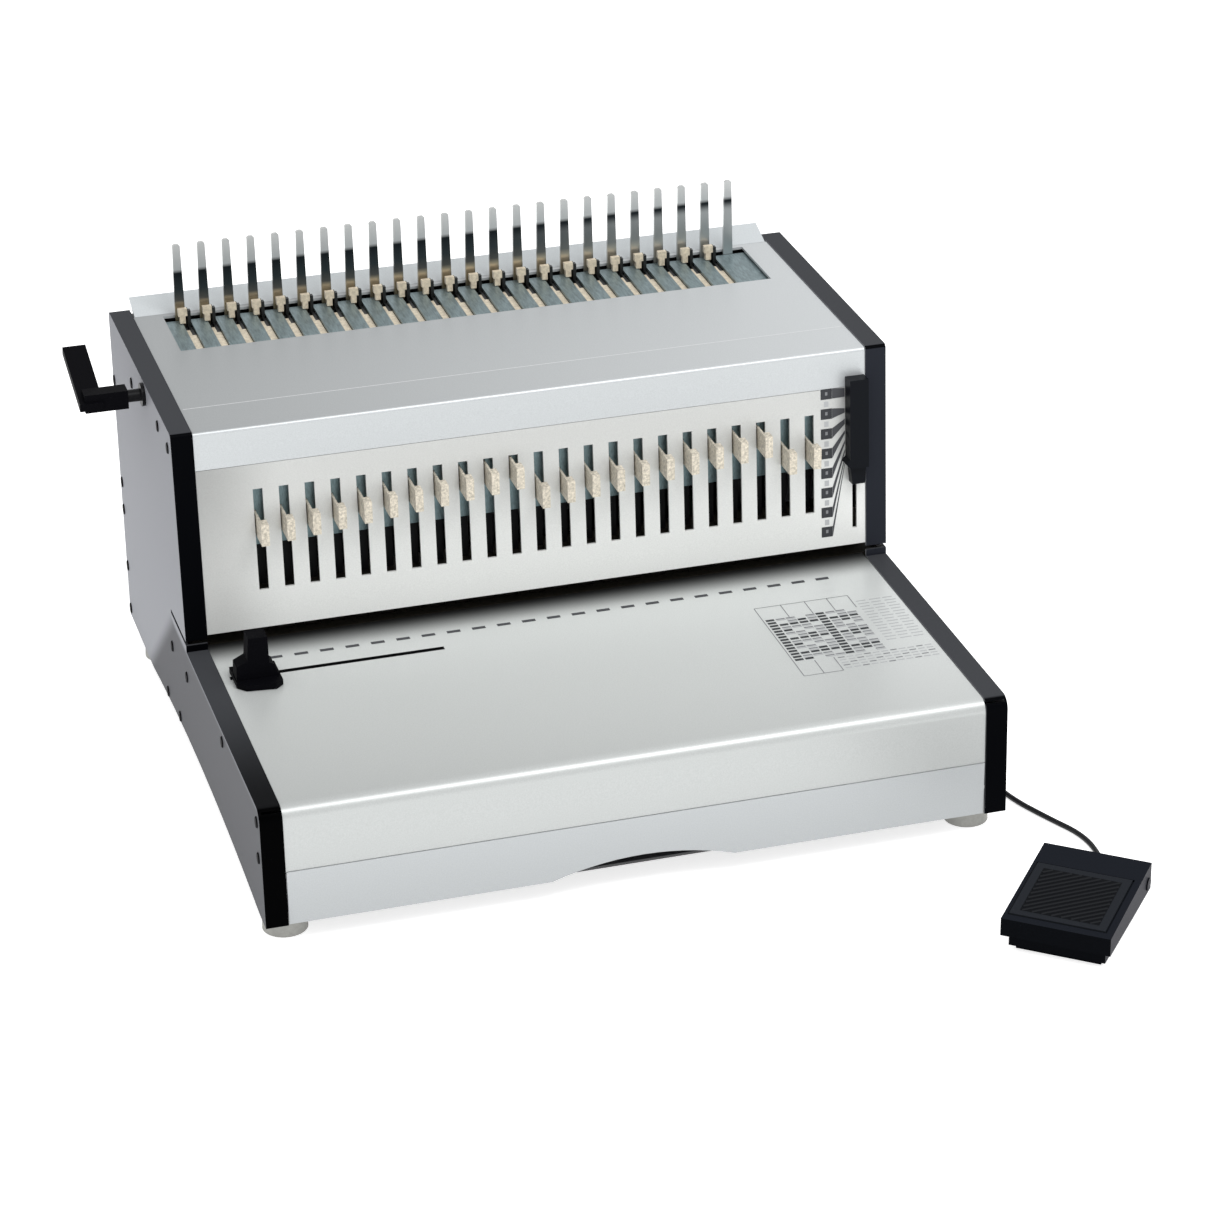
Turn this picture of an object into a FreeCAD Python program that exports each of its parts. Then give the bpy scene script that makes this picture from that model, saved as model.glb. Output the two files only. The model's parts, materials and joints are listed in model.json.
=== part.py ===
import FreeCAD, Part

# A comb binding machine with an electric punch and a foot pedal, in millimetres.
# X runs to the right, Y to the rear and Z up. Sizes are laid out from the middle of the
# casing's footprint; at the end every sub-part is shifted by the same small step, so
# that the origin is on the floor in the middle of the casing and pedal together.
import math
import os
import re

import Sketcher
from FreeCAD import Placement, Rotation, Vector

SIZES = {
    # casing
    "casing_width": 405, "casing_depth": 383, "top_z": 206, "deck_z": 80, "base_z": 13,
    "origin_x": 5.2, "origin_y": -71.1, "band_width": 12, "sheet": 1.5, "seam": 0.6, "gap": 0.3,
    "tower_y": -6.3, "tower_slope": 0.056, "base_slope": 0.03,
    "deck_bend": 7, "top_bend": 2.5, "arch_rise": 8, "side_arch_half": 147, "front_arch_half": 50,
    "side_arch_y": -29, "relief_z": 83.8, "relief_height": 2.5, "relief_depth": 43,
    "cover_flange_z": 183.7, "front_plate_z": 88.3, "drawer_top_z": 43.4,
    "window_half": 174, "window_front": 121, "window_rear": 174.8,
    "fence_y": 178.5, "fence_run": 17, "fence_rise": 6, "foot_x": 188.3, "foot_y": 169.5, "foot_radius": 12,
    # punch
    "pitch": 14.2875, "die_count": 23, "slot_width": 5.4, "slot_low_z": 110.5, "slot_high_z": 169.4,
    "punch_half": 184, "punch_y": 14.5, "hole_width": 8.6, "hole_depth": 3.6,
    "pin_width": 8, "pin_depth": 3, "pin_length": 51.9, "punch_stroke": 24,
    "bar_front": 9, "bar_rear": 25, "bar_low_z": 134, "bar_high_z": 174,
    "guide_low_z": 88.5, "guide_high_z": 108, "post_x": 176, "post_y": 17, "post_radius": 5,
    "tab_low_z": 141.5, "tab_height": 12.8, "tab_left": 2, "tab_sheet": 1.2, "tab_front": -11,
    "tab_rear": 19.8, "stagger": 1.35, "running_fit": 0.05,
    # punch drive
    "cam_x": 90, "cam_y": 68, "cam_z": 150, "cam_radius": 8, "cam_turn": 150, "cam_width": 14,
    "shaft_radius": 6, "bearing_x": 120, "bearing_width": 16, "motor_radius": 28,
    # comb opener
    "lever_y": 83, "lever_z": 198.5, "lever_radius": 3.5, "bush_wall": 1.5,
    "lever_arm_width": 13, "lever_arm_length": 54.5, "gear_x": 180, "gear_width": 8,
    "sector_radius": 20, "idler_radius": 8, "tooth": 1.2,
    "finger_y": 173, "finger_height": 249, "finger_depth": 2, "hook_reach": 2.7, "slit_width": 5,
    # paper guides, knob and drawer
    "guide_x": -172.5, "guide_y": -38.5, "guide_travel": 100, "guide_slot": 3.6,
    "knob_x": 183.8, "knob_low_z": 127, "knob_high_z": 190,
    "tray_half": 160, "tray_low_z": 22, "tray_high_z": 41, "tray_rear": 38,
    # foot pedal and its cord
    "pedal_x": 199.8, "pedal_y": -296.4, "pedal_turn": -39.3, "pedal_width": 58, "pedal_length": 74,
    "pedal_front_z": 20, "pedal_rear_z": 25, "skirt_z": 10,
    "pivot_y": 31, "pivot_z": 15.5, "pivot_radius": 3.4, "entry_x": 4, "pad_middle": -1,
    "cord_radius": 1.5, "coil_x": 118, "coil_y": 262, "coil_radius": 22, "gland_x": 150, "gland_z": 45,
}

doc = FreeCAD.newDocument("CombBinder")
sheet = doc.addObject("Spreadsheet::Sheet", "Dims")
for row, (alias, value) in enumerate(SIZES.items(), start=1):
    sheet.set(f"A{row}", alias)
    sheet.set(f"B{row}", str(value))
    sheet.setAlias(f"B{row}", alias)
doc.recompute()

UPRIGHT = Rotation()
TURNS = {"X": Rotation(Vector(0, 1, 0), 90), "Y": Rotation(Vector(1, 0, 0), -90), "Z": UPRIGHT}
nodes = []


# ---------------------------------------------------------------- helpers
def bound(text):
    """Write every sheet name in a formula as a reference to its cell."""
    return re.sub(r"\b[a-z][a-z_]*\b", lambda m: "Dims." + m[0] if m[0] in SIZES else m[0], str(text))


def size(text):
    """Return a formula's value from the sheet, in millimetres."""
    result = sheet.evalExpression(bound(text))
    return float(getattr(result, "Value", result))


def tower_y_at(z):
    """The leaning face of the tower at height z, as a formula."""
    return f"(tower_y + tower_slope * ({z}))"


def base_y_at(z):
    """The leaning front face of the base at height z, as a formula."""
    return f"(-casing_depth / 2 + base_slope * ({z} - base_z))"


def place(item, corner, turn=UPRIGHT):
    item.Placement = Placement(Vector(), turn)
    for axis, text in zip("xyz", corner):
        item.setExpression("Placement.Base." + axis, bound(text))
    return item


def block(name, spans):
    """A box between three (low, high) pairs of formulas."""
    item = doc.addObject("Part::Box", name)
    for prop, (low, high) in zip(("Length", "Width", "Height"), spans):
        item.setExpression(prop, bound(f"({high}) - ({low})"))
    return place(item, [low for low, high in spans])


def rod(name, radius, length, start, axis="Z"):
    item = doc.addObject("Part::Cylinder", name)
    item.setExpression("Radius", bound(radius))
    item.setExpression("Height", bound(length))
    return place(item, start, TURNS[axis])


def fuse(name, *pieces):
    item = doc.addObject("Part::MultiFuse", name)
    item.Shapes = list(pieces)
    return item


def cut(name, base, *tools):
    item = doc.addObject("Part::Cut", name)
    item.Base = base
    item.Tool = tools[0] if len(tools) == 1 else fuse(name + "_tools", *tools)
    return item


def together(name, *solids):
    """Separate solids of one sub-part."""
    item = doc.addObject("Part::Compound", name)
    item.Links = list(solids)
    return item


def solid(name, shape, placement=None):
    item = doc.addObject("Part::Feature", name)
    item.Shape = shape
    if placement is not None:
        item.Placement = placement
    return item


def prism(points, push):
    """A straight-sided solid: a closed outline of vectors, pushed along a vector."""
    return Part.Face(Part.makePolygon(points + points[:1])).extrude(push)


def node(label, item):
    item.Label = label
    nodes.append(item)
    return item


def body(name):
    return doc.addObject("PartDesign::Body", name)


def sketch(owner, name, plane, offset="0"):
    item = owner.newObject("Sketcher::SketchObject", name)
    base = next(f for f in owner.Origin.OriginFeatures if f.Role == plane)
    item.AttachmentSupport = [(base, "")]
    item.MapMode = "FlatFace"
    item.setExpression("AttachmentOffset.Base.z", bound(offset))
    return item


def outline(item, corners):
    """A closed polygon whose corners are held by formulas."""
    first = item.GeometryCount
    spots = [Vector(size(u), size(v), 0) for u, v in corners]
    count = len(corners)
    for k in range(count):
        item.addGeometry(Part.LineSegment(spots[k], spots[(k + 1) % count]), False)
    for k in range(count):
        item.addConstraint(Sketcher.Constraint("Coincident", first + k, 2, first + (k + 1) % count, 1))
    for k, (u, v) in enumerate(corners):
        for kind, text, value in (("DistanceX", u, spots[k].x), ("DistanceY", v, spots[k].y)):
            index = item.addConstraint(Sketcher.Constraint(kind, -1, 1, first + k, 1, value))
            item.setExpression(f"Constraints[{index}]", bound(text))
    return item


def circle(item, u, v, radius):
    """A circle held by formulas for its centre and radius."""
    first = item.GeometryCount
    centre = Vector(size(u), size(v), 0)
    item.addGeometry(Part.Circle(centre, Vector(0, 0, 1), size(radius)), False)
    rules = (("DistanceX", u, centre.x), ("DistanceY", v, centre.y))
    for kind, text, value in rules:
        index = item.addConstraint(Sketcher.Constraint(kind, -1, 1, first, 3, value))
        item.setExpression(f"Constraints[{index}]", bound(text))
    index = item.addConstraint(Sketcher.Constraint("Radius", first, size(radius)))
    item.setExpression(f"Constraints[{index}]", bound(radius))
    return item


def pad(owner, profile, length, middle=False, back=False):
    item = owner.newObject("PartDesign::Pad", profile.Name + "_pad")
    item.Profile = profile
    item.setExpression("Length", bound(length))
    item.Midplane = middle
    item.Reversed = back
    owner.Tip = item
    doc.recompute()
    return item


def pocket(owner, profile, length, middle=False, back=False):
    before = owner.Shape.Volume
    item = owner.newObject("PartDesign::Pocket", profile.Name + "_pocket")
    item.Profile = profile
    item.setExpression("Length", bound(length))
    item.Midplane = middle
    item.Reversed = back
    owner.Tip = item
    doc.recompute()
    if owner.Shape.Volume > before - 0.01:
        raise RuntimeError(f"{item.Name} removes nothing")
    return item


def repeat(owner, feature, profile, span, count):
    """Copies of a feature along the sketch's own horizontal axis."""
    item = owner.newObject("PartDesign::LinearPattern", feature.Name + "_row")
    item.Originals = [feature]
    item.Direction = (profile, ["H_Axis"])
    item.setExpression("Length", bound(span))
    item.setExpression("Occurrences", bound(count))
    owner.Tip = item
    doc.recompute()
    return item


def round_edges(owner, radius, spots):
    """Round the edges that run along X through the given (y, z) corners."""
    names = []
    for number, edge in enumerate(owner.Shape.Edges, start=1):
        ends = [v.Point for v in edge.Vertexes]
        along_x = len(ends) == 2 and abs(ends[0].x - ends[1].x) > size("band_width") - 1
        near = any(abs(ends[0].y - y) < 0.2 and abs(ends[0].z - z) < 0.2 for y, z in spots)
        if along_x and near:
            names.append(f"Edge{number}")
    last = owner.Tip
    item = owner.newObject("PartDesign::Fillet", owner.Name + "_bend")
    item.Base = (last, names)
    item.setExpression("Radius", bound(radius))
    owner.Tip = item
    doc.recompute()
    return item


def column_x(index):
    """The centre of a punch column, counted from the left."""
    return (index - (size("die_count") - 1) / 2) * size("pitch")


# ---------------------------------------------------------------- casing
def side_panel(name, side):
    """A sheet pan: an outer face with bands turned inwards round its edges."""
    owner = body(name)
    inner = "casing_width / 2 - band_width"
    start = inner if side > 0 else "-casing_width / 2"
    rear = "casing_depth / 2"
    corners = [
        (base_y_at("base_z"), "base_z"), (base_y_at("deck_z"), "deck_z"),
        (tower_y_at("deck_z"), "deck_z"), (tower_y_at("top_z"), "top_z"),
        (rear, "top_z"), (rear, "base_z"),
    ]
    shell = outline(sketch(owner, name + "_outline", "YZ_Plane", start), corners)
    pad(owner, shell, "band_width")
    round_edges(owner, "deck_bend", [(size(base_y_at("deck_z")), size("deck_z"))])
    round_edges(owner, "top_bend", [(size(tower_y_at("top_z")), size("top_z")),
                                    (size(rear), size("top_z"))])
    hollow = [
        (base_y_at("base_z") + " + sheet", "base_z - 5"),
        (base_y_at("deck_z") + " + sheet", "deck_z - sheet"),
        (tower_y_at("deck_z") + " + sheet", "deck_z - sheet"),
        (tower_y_at("top_z") + " + sheet", "top_z - sheet"),
        (rear + " - sheet", "top_z - sheet"), (rear + " - sheet", "base_z - 5"),
    ]
    inner_face = inner if side > 0 else "-(" + inner + ")"
    room = outline(sketch(owner, name + "_hollow", "YZ_Plane", inner_face), hollow)
    pocket(owner, room, "band_width - sheet", back=side > 0)
    middle = "casing_width / 2" if side > 0 else "-casing_width / 2"
    rise = "arch_rise"
    arch_radius = f"(side_arch_half ^ 2 / (2 * {rise}) + {rise} / 2)"
    arch = circle(sketch(owner, name + "_arch", "YZ_Plane", middle), "side_arch_y",
                  f"base_z + {rise} - {arch_radius}", arch_radius)
    pocket(owner, arch, "band_width * 3", middle=True)
    slit = [
        (tower_y_at("relief_z") + " - 5", "relief_z"),
        (tower_y_at("relief_z") + " + relief_depth", "relief_z"),
        (tower_y_at("relief_z") + " + relief_depth", "relief_z + relief_height"),
        (tower_y_at("relief_z") + " - 5", "relief_z + relief_height"),
    ]
    relief = outline(sketch(owner, name + "_relief", "YZ_Plane", middle), slit)
    pocket(owner, relief, "band_width * 3", middle=True)
    if side < 0:
        bore = circle(sketch(owner, name + "_bore", "YZ_Plane", middle), "lever_y", "lever_z",
                      "lever_radius + bush_wall")
        pocket(owner, bore, "band_width", middle=True)
    return node(name, owner)


def top_cover():
    """The top sheet, bent down over the upper part of the tower's front."""
    owner = body("top_cover")
    high = "top_z - seam"
    low = "cover_flange_z"
    corners = [
        (tower_y_at(high) + " + seam", high), ("fence_y", high), ("fence_y", high + " - sheet"),
        (tower_y_at(high) + " + seam + sheet", high + " - sheet"),
        (tower_y_at(low) + " + seam + sheet", low), (tower_y_at(low) + " + seam", low),
    ]
    profile = outline(sketch(owner, "cover_profile", "YZ_Plane"), corners)
    pad(owner, profile, "casing_width - 2 * band_width - 2 * gap", middle=True)
    round_edges(owner, "top_bend", [(size(tower_y_at(high) + " + seam"), size(high))])
    window = outline(sketch(owner, "cover_window", "XY_Plane", "top_z"), [
        ("-window_half", "window_front"), ("window_half", "window_front"),
        ("window_half", "window_rear"), ("-window_half", "window_rear"),
    ])
    pocket(owner, window, "sheet * 4")
    return node("top_cover", owner)


def front_plate():
    """The slotted front of the tower; its own frame leans back with it."""
    owner = body("front_plate")
    half = "casing_width / 2 - band_width - gap"
    tall = "(cover_flange_z - 0.1 - front_plate_z)"
    face = outline(sketch(owner, "plate_face", "XZ_Plane"), [
        (f"-({half})", "0"), (half, "0"), (half, tall), (f"-({half})", tall),
    ])
    pad(owner, face, "sheet", back=True)
    first = "-(die_count - 1) / 2 * pitch"
    slot = outline(sketch(owner, "tab_slot", "XZ_Plane"), [
        (f"{first} - slot_width / 2", "slot_low_z - front_plate_z"),
        (f"{first} + slot_width / 2", "slot_low_z - front_plate_z"),
        (f"{first} + slot_width / 2", "slot_high_z - front_plate_z"),
        (f"{first} - slot_width / 2", "slot_high_z - front_plate_z"),
    ])
    opening = pocket(owner, slot, "sheet * 4", middle=True)
    repeat(owner, opening, slot, "(die_count - 1) * pitch", "die_count")
    track = outline(sketch(owner, "knob_track", "XZ_Plane"), [
        ("knob_x - 1.3", "10"), ("knob_x + 1.3", "10"), ("knob_x + 1.3", "88"), ("knob_x - 1.3", "88"),
    ])
    pocket(owner, track, "sheet * 4", middle=True)
    lean = Rotation(Vector(1, 0, 0), -math.degrees(math.atan(size("tower_slope"))))
    place(owner, ("0", tower_y_at("front_plate_z") + " + seam", "front_plate_z"), lean)
    return node("front_plate", owner)


def deck_cover():
    """The working deck, bent down over the upper half of the base's front."""
    owner = body("deck_cover")
    high = "deck_z - seam"
    rear = "bar_front - 4.3"
    low = "drawer_top_z + gap"
    corners = [
        (base_y_at(high) + " + seam", high), (rear, high), (rear, high + " - sheet"),
        (base_y_at(high) + " + seam + sheet", high + " - sheet"),
        (base_y_at(low) + " + seam + sheet", low), (base_y_at(low) + " + seam", low),
    ]
    profile = outline(sketch(owner, "deck_profile", "YZ_Plane"), corners)
    pad(owner, profile, "casing_width - 2 * band_width - 2 * gap", middle=True)
    round_edges(owner, "deck_bend", [(size(base_y_at(high) + " + seam"), size(high))])
    inner_bend = (size(base_y_at(high) + " + seam + sheet"), size(high + " - sheet"))
    round_edges(owner, "deck_bend - sheet", [inner_bend])
    track = outline(sketch(owner, "guide_track", "XY_Plane", "deck_z"), [
        ("guide_x - 13.5", "guide_y - guide_slot / 2"),
        ("guide_x + guide_travel + 5.5", "guide_y - guide_slot / 2"),
        ("guide_x + guide_travel + 5.5", "guide_y + guide_slot / 2"),
        ("guide_x - 13.5", "guide_y + guide_slot / 2"),
    ])
    pocket(owner, track, "sheet * 3")
    return node("deck_cover", owner)


def bottom_plate():
    """The floor pan that carries the feet, with a low wall along each side."""
    half = "(casing_width / 2 - band_width - 0.5)"
    front = "-casing_depth / 2 + 4.5"
    rear = "casing_depth / 2 - 2"
    floor = block("floor_sheet", ((f"-{half}", half), (front, rear), ("base_z + 1.5", "base_z + 3")))
    wall = ("base_z + 1.5", "base_z + 9")
    left = block("floor_left", ((f"-{half}", f"-{half} + sheet"), (front, rear), wall))
    right = block("floor_right", ((f"{half} - sheet", half), (front, rear), wall))
    return node("bottom_plate", fuse("bottom_plate", floor, left, right))


def rear_cover():
    """The back sheet with its top flange, ventilation slots and inlet cutout."""
    owner = body("rear_cover")
    half = "(casing_width / 2 - band_width - gap)"
    low, high = "base_z + 3.3", "top_z - 3"
    face = outline(sketch(owner, "rear_face", "XZ_Plane", "-(casing_depth / 2 - 0.5)"), [
        (f"-{half}", low), (half, low), (half, high), (f"-{half}", high),
    ])
    pad(owner, face, "sheet")
    flange = outline(sketch(owner, "rear_flange", "XZ_Plane", "-(casing_depth / 2 - 0.5)"), [
        (f"-{half}", f"{high} - sheet"), (half, f"{high} - sheet"), (half, high), (f"-{half}", high),
    ])
    pad(owner, flange, "9")
    vent = outline(sketch(owner, "vent", "XZ_Plane", "-(casing_depth / 2)"), [
        ("-50", "120"), ("-46.5", "120"), ("-46.5", "160"), ("-50", "160"),
    ])
    opening = pocket(owner, vent, "sheet * 4", middle=True)
    repeat(owner, opening, vent, "96", "13")
    inlet = outline(sketch(owner, "inlet_cut", "XZ_Plane", "-(casing_depth / 2)"), [
        ("-164", "31"), ("-136", "31"), ("-136", "79"), ("-164", "79"),
    ])
    pocket(owner, inlet, "sheet * 4", middle=True)
    gland = circle(sketch(owner, "gland_cut", "XZ_Plane", "-(casing_depth / 2)"), "gland_x", "gland_z", "5.2")
    pocket(owner, gland, "sheet * 4", middle=True)
    return node("rear_cover", owner)


def rear_fence():
    """A sheet strip that slopes up to the rear, behind the fingers."""
    owner = body("rear_fence")
    high = "top_z - seam"
    profile = outline(sketch(owner, "fence_profile", "YZ_Plane"), [
        ("fence_y + gap", high), ("fence_y + fence_run", high + " + fence_rise"),
        ("fence_y + fence_run + 0.4", high + " + fence_rise - 1.2"), ("fence_y + 2", high + " - sheet"),
        ("fence_y + gap", high + " - sheet"),
    ])
    pad(owner, profile, "casing_width - 2 * band_width - 2", middle=True)
    return node("rear_fence", owner)


def rubber_feet():
    feet = []
    for across, x in (("left", "-foot_x"), ("right", "foot_x")):
        for along, y in (("front", "-foot_y"), ("rear", "foot_y - 11")):
            foot = doc.addObject("Part::Cone", f"foot_{along}_{across}")
            foot.setExpression("Radius1", bound("foot_radius"))
            foot.setExpression("Radius2", bound("foot_radius - 0.6"))
            foot.setExpression("Height", bound("base_z + 1.5"))
            feet.append(place(foot, (x, y, "0")))
    return node("rubber_feet", together("rubber_feet", *feet))


# ---------------------------------------------------------------- comb opener
def slit_plate():
    """The recessed plate under the window, with one slit beside each finger."""
    owner = body("slit_plate")
    face = outline(sketch(owner, "slit_face", "XY_Plane", "top_z - 3"), [
        ("-casing_width / 2 + sheet", "window_front - 5"), ("casing_width / 2 - sheet", "window_front - 5"),
        ("casing_width / 2 - sheet", "finger_y - 1.4"), ("-casing_width / 2 + sheet", "finger_y - 1.4"),
    ])
    pad(owner, face, "sheet", back=True)
    first = "(-die_count / 2 * pitch + hook_reach)"
    slit = outline(sketch(owner, "slit", "XY_Plane", "top_z - 3"), [
        (f"{first} - slit_width / 2", "window_front + 2"), (f"{first} + slit_width / 2", "window_front + 2"),
        (f"{first} + slit_width / 2", "finger_y"), (f"{first} - slit_width / 2", "finger_y"),
    ])
    opening = pocket(owner, slit, "sheet * 4", middle=True)
    repeat(owner, opening, slit, "(die_count - 1) * pitch", "die_count")
    return node("slit_plate", owner)


def comb_fingers():
    """Upright flat fingers, each tapered and bevelled at its tip, on one rail."""
    pieces = []
    low, high = size("top_z") - 10, size("finger_height")
    front = size("finger_y - finger_depth / 2")
    push = Vector(0, size("finger_depth"), 0)
    foot, tip, bevel = 3.0, 2.2, 1.0
    for index in range(int(size("die_count")) + 1):
        x = (index - size("die_count") / 2) * size("pitch")
        corners = [(-foot, low), (foot, low), (tip, high - bevel), (tip - bevel, high),
                   (bevel - tip, high), (-tip, high - bevel)]
        pieces.append(prism([Vector(x + u, front, v) for u, v in corners], push))
    half = size("casing_width / 2 - sheet")
    rail = Part.makeBox(2 * half, size("finger_depth + 0.6"), 10, Vector(-half, front - 0.3, low - 10))
    return node("comb_fingers", solid("comb_fingers", Part.makeCompound(pieces + [rail])))


def rake_hooks():
    """Blades under the slits; each rises through its slit to a claw in front of a finger."""
    pieces = []
    top, plate = size("top_z"), size("top_z - 3")
    blade_low, blade_high, front = plate - 4, plate - 1.8, 165.5
    for index in range(int(size("die_count"))):
        finger = (index - size("die_count") / 2) * size("pitch")
        x = finger + size("hook_reach")
        blade = Part.makeBox(5, 34, blade_high - blade_low, Vector(x - 2.7, 126, blade_low))
        web = Part.makeBox(1.2, 14, blade_high - blade_low, Vector(x + 0.5, 154.5, blade_low))
        upright = Part.makeBox(1.8, 3, top + 5 - blade_low, Vector(x + 0.3, front, blade_low))
        head = Part.makeBox(5.6, 3, 4.2, Vector(finger - 2.3, front, top + 1.8))
        claw = Part.makeBox(3.2, 3, top + 2 - plate - 0.4, Vector(finger - 1.5, front, plate + 0.4))
        pieces.append(blade.multiFuse([web, upright, head, claw]).removeSplitter())
    return node("rake_hooks", solid("rake_hooks", Part.makeCompound(pieces)))


def rake_frame():
    """The sliding plate under the slits, with a cheek down to a rack at each side."""
    low, high = "top_z - 11", "top_z - 7"
    cheek_in, cheek_out = "gear_x - 16", "gear_x - 8"
    rack_high = "lever_z - sector_radius - 2 * idler_radius - 2 * gap - tooth"
    pieces = [block("rake_plate", ((f"-({cheek_out})", cheek_out), ("128", "170"), (low, high)))]
    for side, tag in ((-1, "left"), (1, "right")):
        spans = sorted((f"{side} * ({cheek_in})", f"{side} * ({cheek_out})"), key=size)
        reach = sorted((f"{side} * ({cheek_in})", f"{side} * (gear_x + gear_width / 2)"), key=size)
        pieces.append(block(f"rake_cheek_{tag}", (spans, ("128", "150"), (f"{rack_high} - 9", high))))
        pieces.append(block(f"rake_arm_{tag}", (reach, ("140", "150"), (f"{rack_high} - 9", rack_high))))
        pieces.append(block(f"rake_rack_{tag}", (
            sorted((f"{side} * (gear_x - gear_width / 2)", f"{side} * (gear_x + gear_width / 2)"), key=size),
            ("70", "150"), (f"{rack_high} - 9", rack_high))))
    pieces.append(solid("rack_teeth", rack_teeth(size(rack_high))))
    return node("rake_frame", fuse("rake_frame", *pieces))


def rack_teeth(foot_z):
    """Two rows of teeth, one per rack, standing on the racks' top faces."""
    step = math.pi * 2 * size("idler_radius") / 16
    width = size("gear_width")
    rows = []
    for side in (-1, 1):
        x = side * size("gear_x") - width / 2
        for index in range(20):
            y = 72 + index * step
            corners = [(0, -0.2), (step * 0.5, -0.2),
                       (step * 0.36, size("tooth")), (step * 0.14, size("tooth"))]
            rows.append(prism([Vector(x, y + u, foot_z + v) for u, v in corners], Vector(width, 0, 0)))
    return Part.makeCompound(rows)


def toothed_disc(x, y, z, radius, teeth, start=0.0, sweep=360.0):
    """A spur gear or a sector of one about the X direction, cut from its tip circle."""
    width = size("gear_width")
    root = radius - size("tooth")
    count = round(teeth * sweep / 360)
    points = [] if sweep >= 360 else [Vector(x - width / 2, y, z)]
    for index in range(count):
        for part, reach in ((0.0, root), (0.18, radius), (0.42, radius), (0.6, root)):
            angle = math.radians(start + (index + part) * 360 / teeth)
            points.append(Vector(x - width / 2, y + reach * math.cos(angle), z + reach * math.sin(angle)))
    return prism(points, Vector(width, 0, 0))


def opener_shaft():
    """The cross shaft with a toothed sector near each end."""
    y, z = size("lever_y"), size("lever_z")
    start = ("-casing_width / 2 - 33", "lever_y", "lever_z")
    shaft = rod("opener_rod", "lever_radius", "casing_width + 25", start, "X")
    sectors = [toothed_disc(side * size("gear_x"), y, z, size("sector_radius"), 40, 166, 112)
               for side in (-1, 1)]
    hubs = [rod(f"sector_hub_{tag}", "5", "gear_width",
                (f"{side} * gear_x - gear_width / 2", "lever_y", "lever_z"), "X")
            for side, tag in ((-1, "left"), (1, "right"))]
    toothed = solid("sectors", Part.makeCompound(sectors))
    return node("opener_shaft", fuse("opener_shaft", shaft, toothed, *hubs))


def opener_lever():
    """A short grip block round the shaft's end and a flat arm that points back and up."""
    grip = block("lever_grip", (("-casing_width / 2 - 33.5", "-casing_width / 2 - 9.5"),
                                ("lever_y - 5", "lever_y + 5"), ("lever_z - 5.3", "lever_z + 5.3")))
    grip_bore = rod("lever_bore", "lever_radius + 0.01", "26",
                    ("-casing_width / 2 - 33", "lever_y", "lever_z"), "X")
    arm = doc.addObject("Part::Box", "lever_arm")
    for prop, text in (("Length", "lever_arm_width"), ("Width", "lever_arm_length"), ("Height", "5")):
        arm.setExpression(prop, bound(text))
    lean = Rotation(Vector(1, 0, 0), 14.3)
    place(arm, ("-casing_width / 2 - 36.5", "lever_y - 5.2", "lever_z - 3.9"), lean)
    return node("opener_lever", cut("opener_lever", fuse("lever_blank", grip, arm), grip_bore))


def idler_gears():
    """A small gear on a stub at each side, between a sector and its rack."""
    y = size("lever_y")
    z = size("lever_z - sector_radius - idler_radius - gap")
    parts = []
    for side in (-1, 1):
        gear = toothed_disc(side * size("gear_x"), y, z, size("idler_radius"), 16, 5)
        low = min(side * 173, side * 189)
        stub = Part.makeCylinder(3, 16, Vector(low, y, z), Vector(1, 0, 0))
        parts.append(gear.fuse(stub).removeSplitter())
    return node("idler_gears", solid("idler_gears", Part.makeCompound(parts)))


# ---------------------------------------------------------------- punch
def columns_shape(low, high, width, front, rear, rise=None):
    """One upright box per punch column; rise adds each column's stagger to both ends."""
    boxes = []
    for index in range(int(size("die_count"))):
        lift = stagger(index) if rise else 0
        boxes.append(Part.makeBox(width, rear - front, high - low,
                                  Vector(column_x(index) - width / 2, front, low + lift)))
    return Part.makeCompound(boxes)


def stagger(index):
    """How much higher a column's pin and tab sit: two long ramps and a short one."""
    step = index if index < 11 else (index - 11 if index < 21 else index - 21)
    return step * size("stagger")


def hole_row(name, low, high):
    front = size("punch_y - hole_depth / 2")
    return solid(name, columns_shape(low, high, size("hole_width"), front, front + size("hole_depth")))


def die_plate():
    half = "casing_width / 2 - sheet"
    slab = block("die_slab", ((f"-({half})", half), ("bar_front - 4", "bar_rear"),
                              ("deck_z - seam - 10", "deck_z - seam")))
    return node("die_plate", cut("die_plate", slab, hole_row("die_holes", 60, 90)))


def punch_guide():
    """The block that guides the pins; its rear lip is the paper's stop."""
    half = "casing_width / 2 - sheet"
    slab = block("guide_slab", ((f"-({half})", half), ("bar_front - 3", "bar_rear"),
                                ("guide_low_z", "guide_high_z")))
    lip = block("guide_lip", (("-punch_half", "punch_half"), ("bar_rear - 3.5", "bar_rear"),
                              ("deck_z - seam + 0.05", "guide_low_z + 1")))
    blank = fuse("guide_blank", slab, lip)
    return node("punch_guide", cut("punch_guide", blank, hole_row("guide_holes", 80, 120)))


def guide_posts():
    posts = [rod(f"guide_post_{tag}", "post_radius", "80", (f"{side} * post_x", "post_y", "guide_high_z"))
             for side, tag in ((-1, "left"), (1, "right"))]
    return node("guide_posts", together("guide_posts", *posts))


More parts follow.
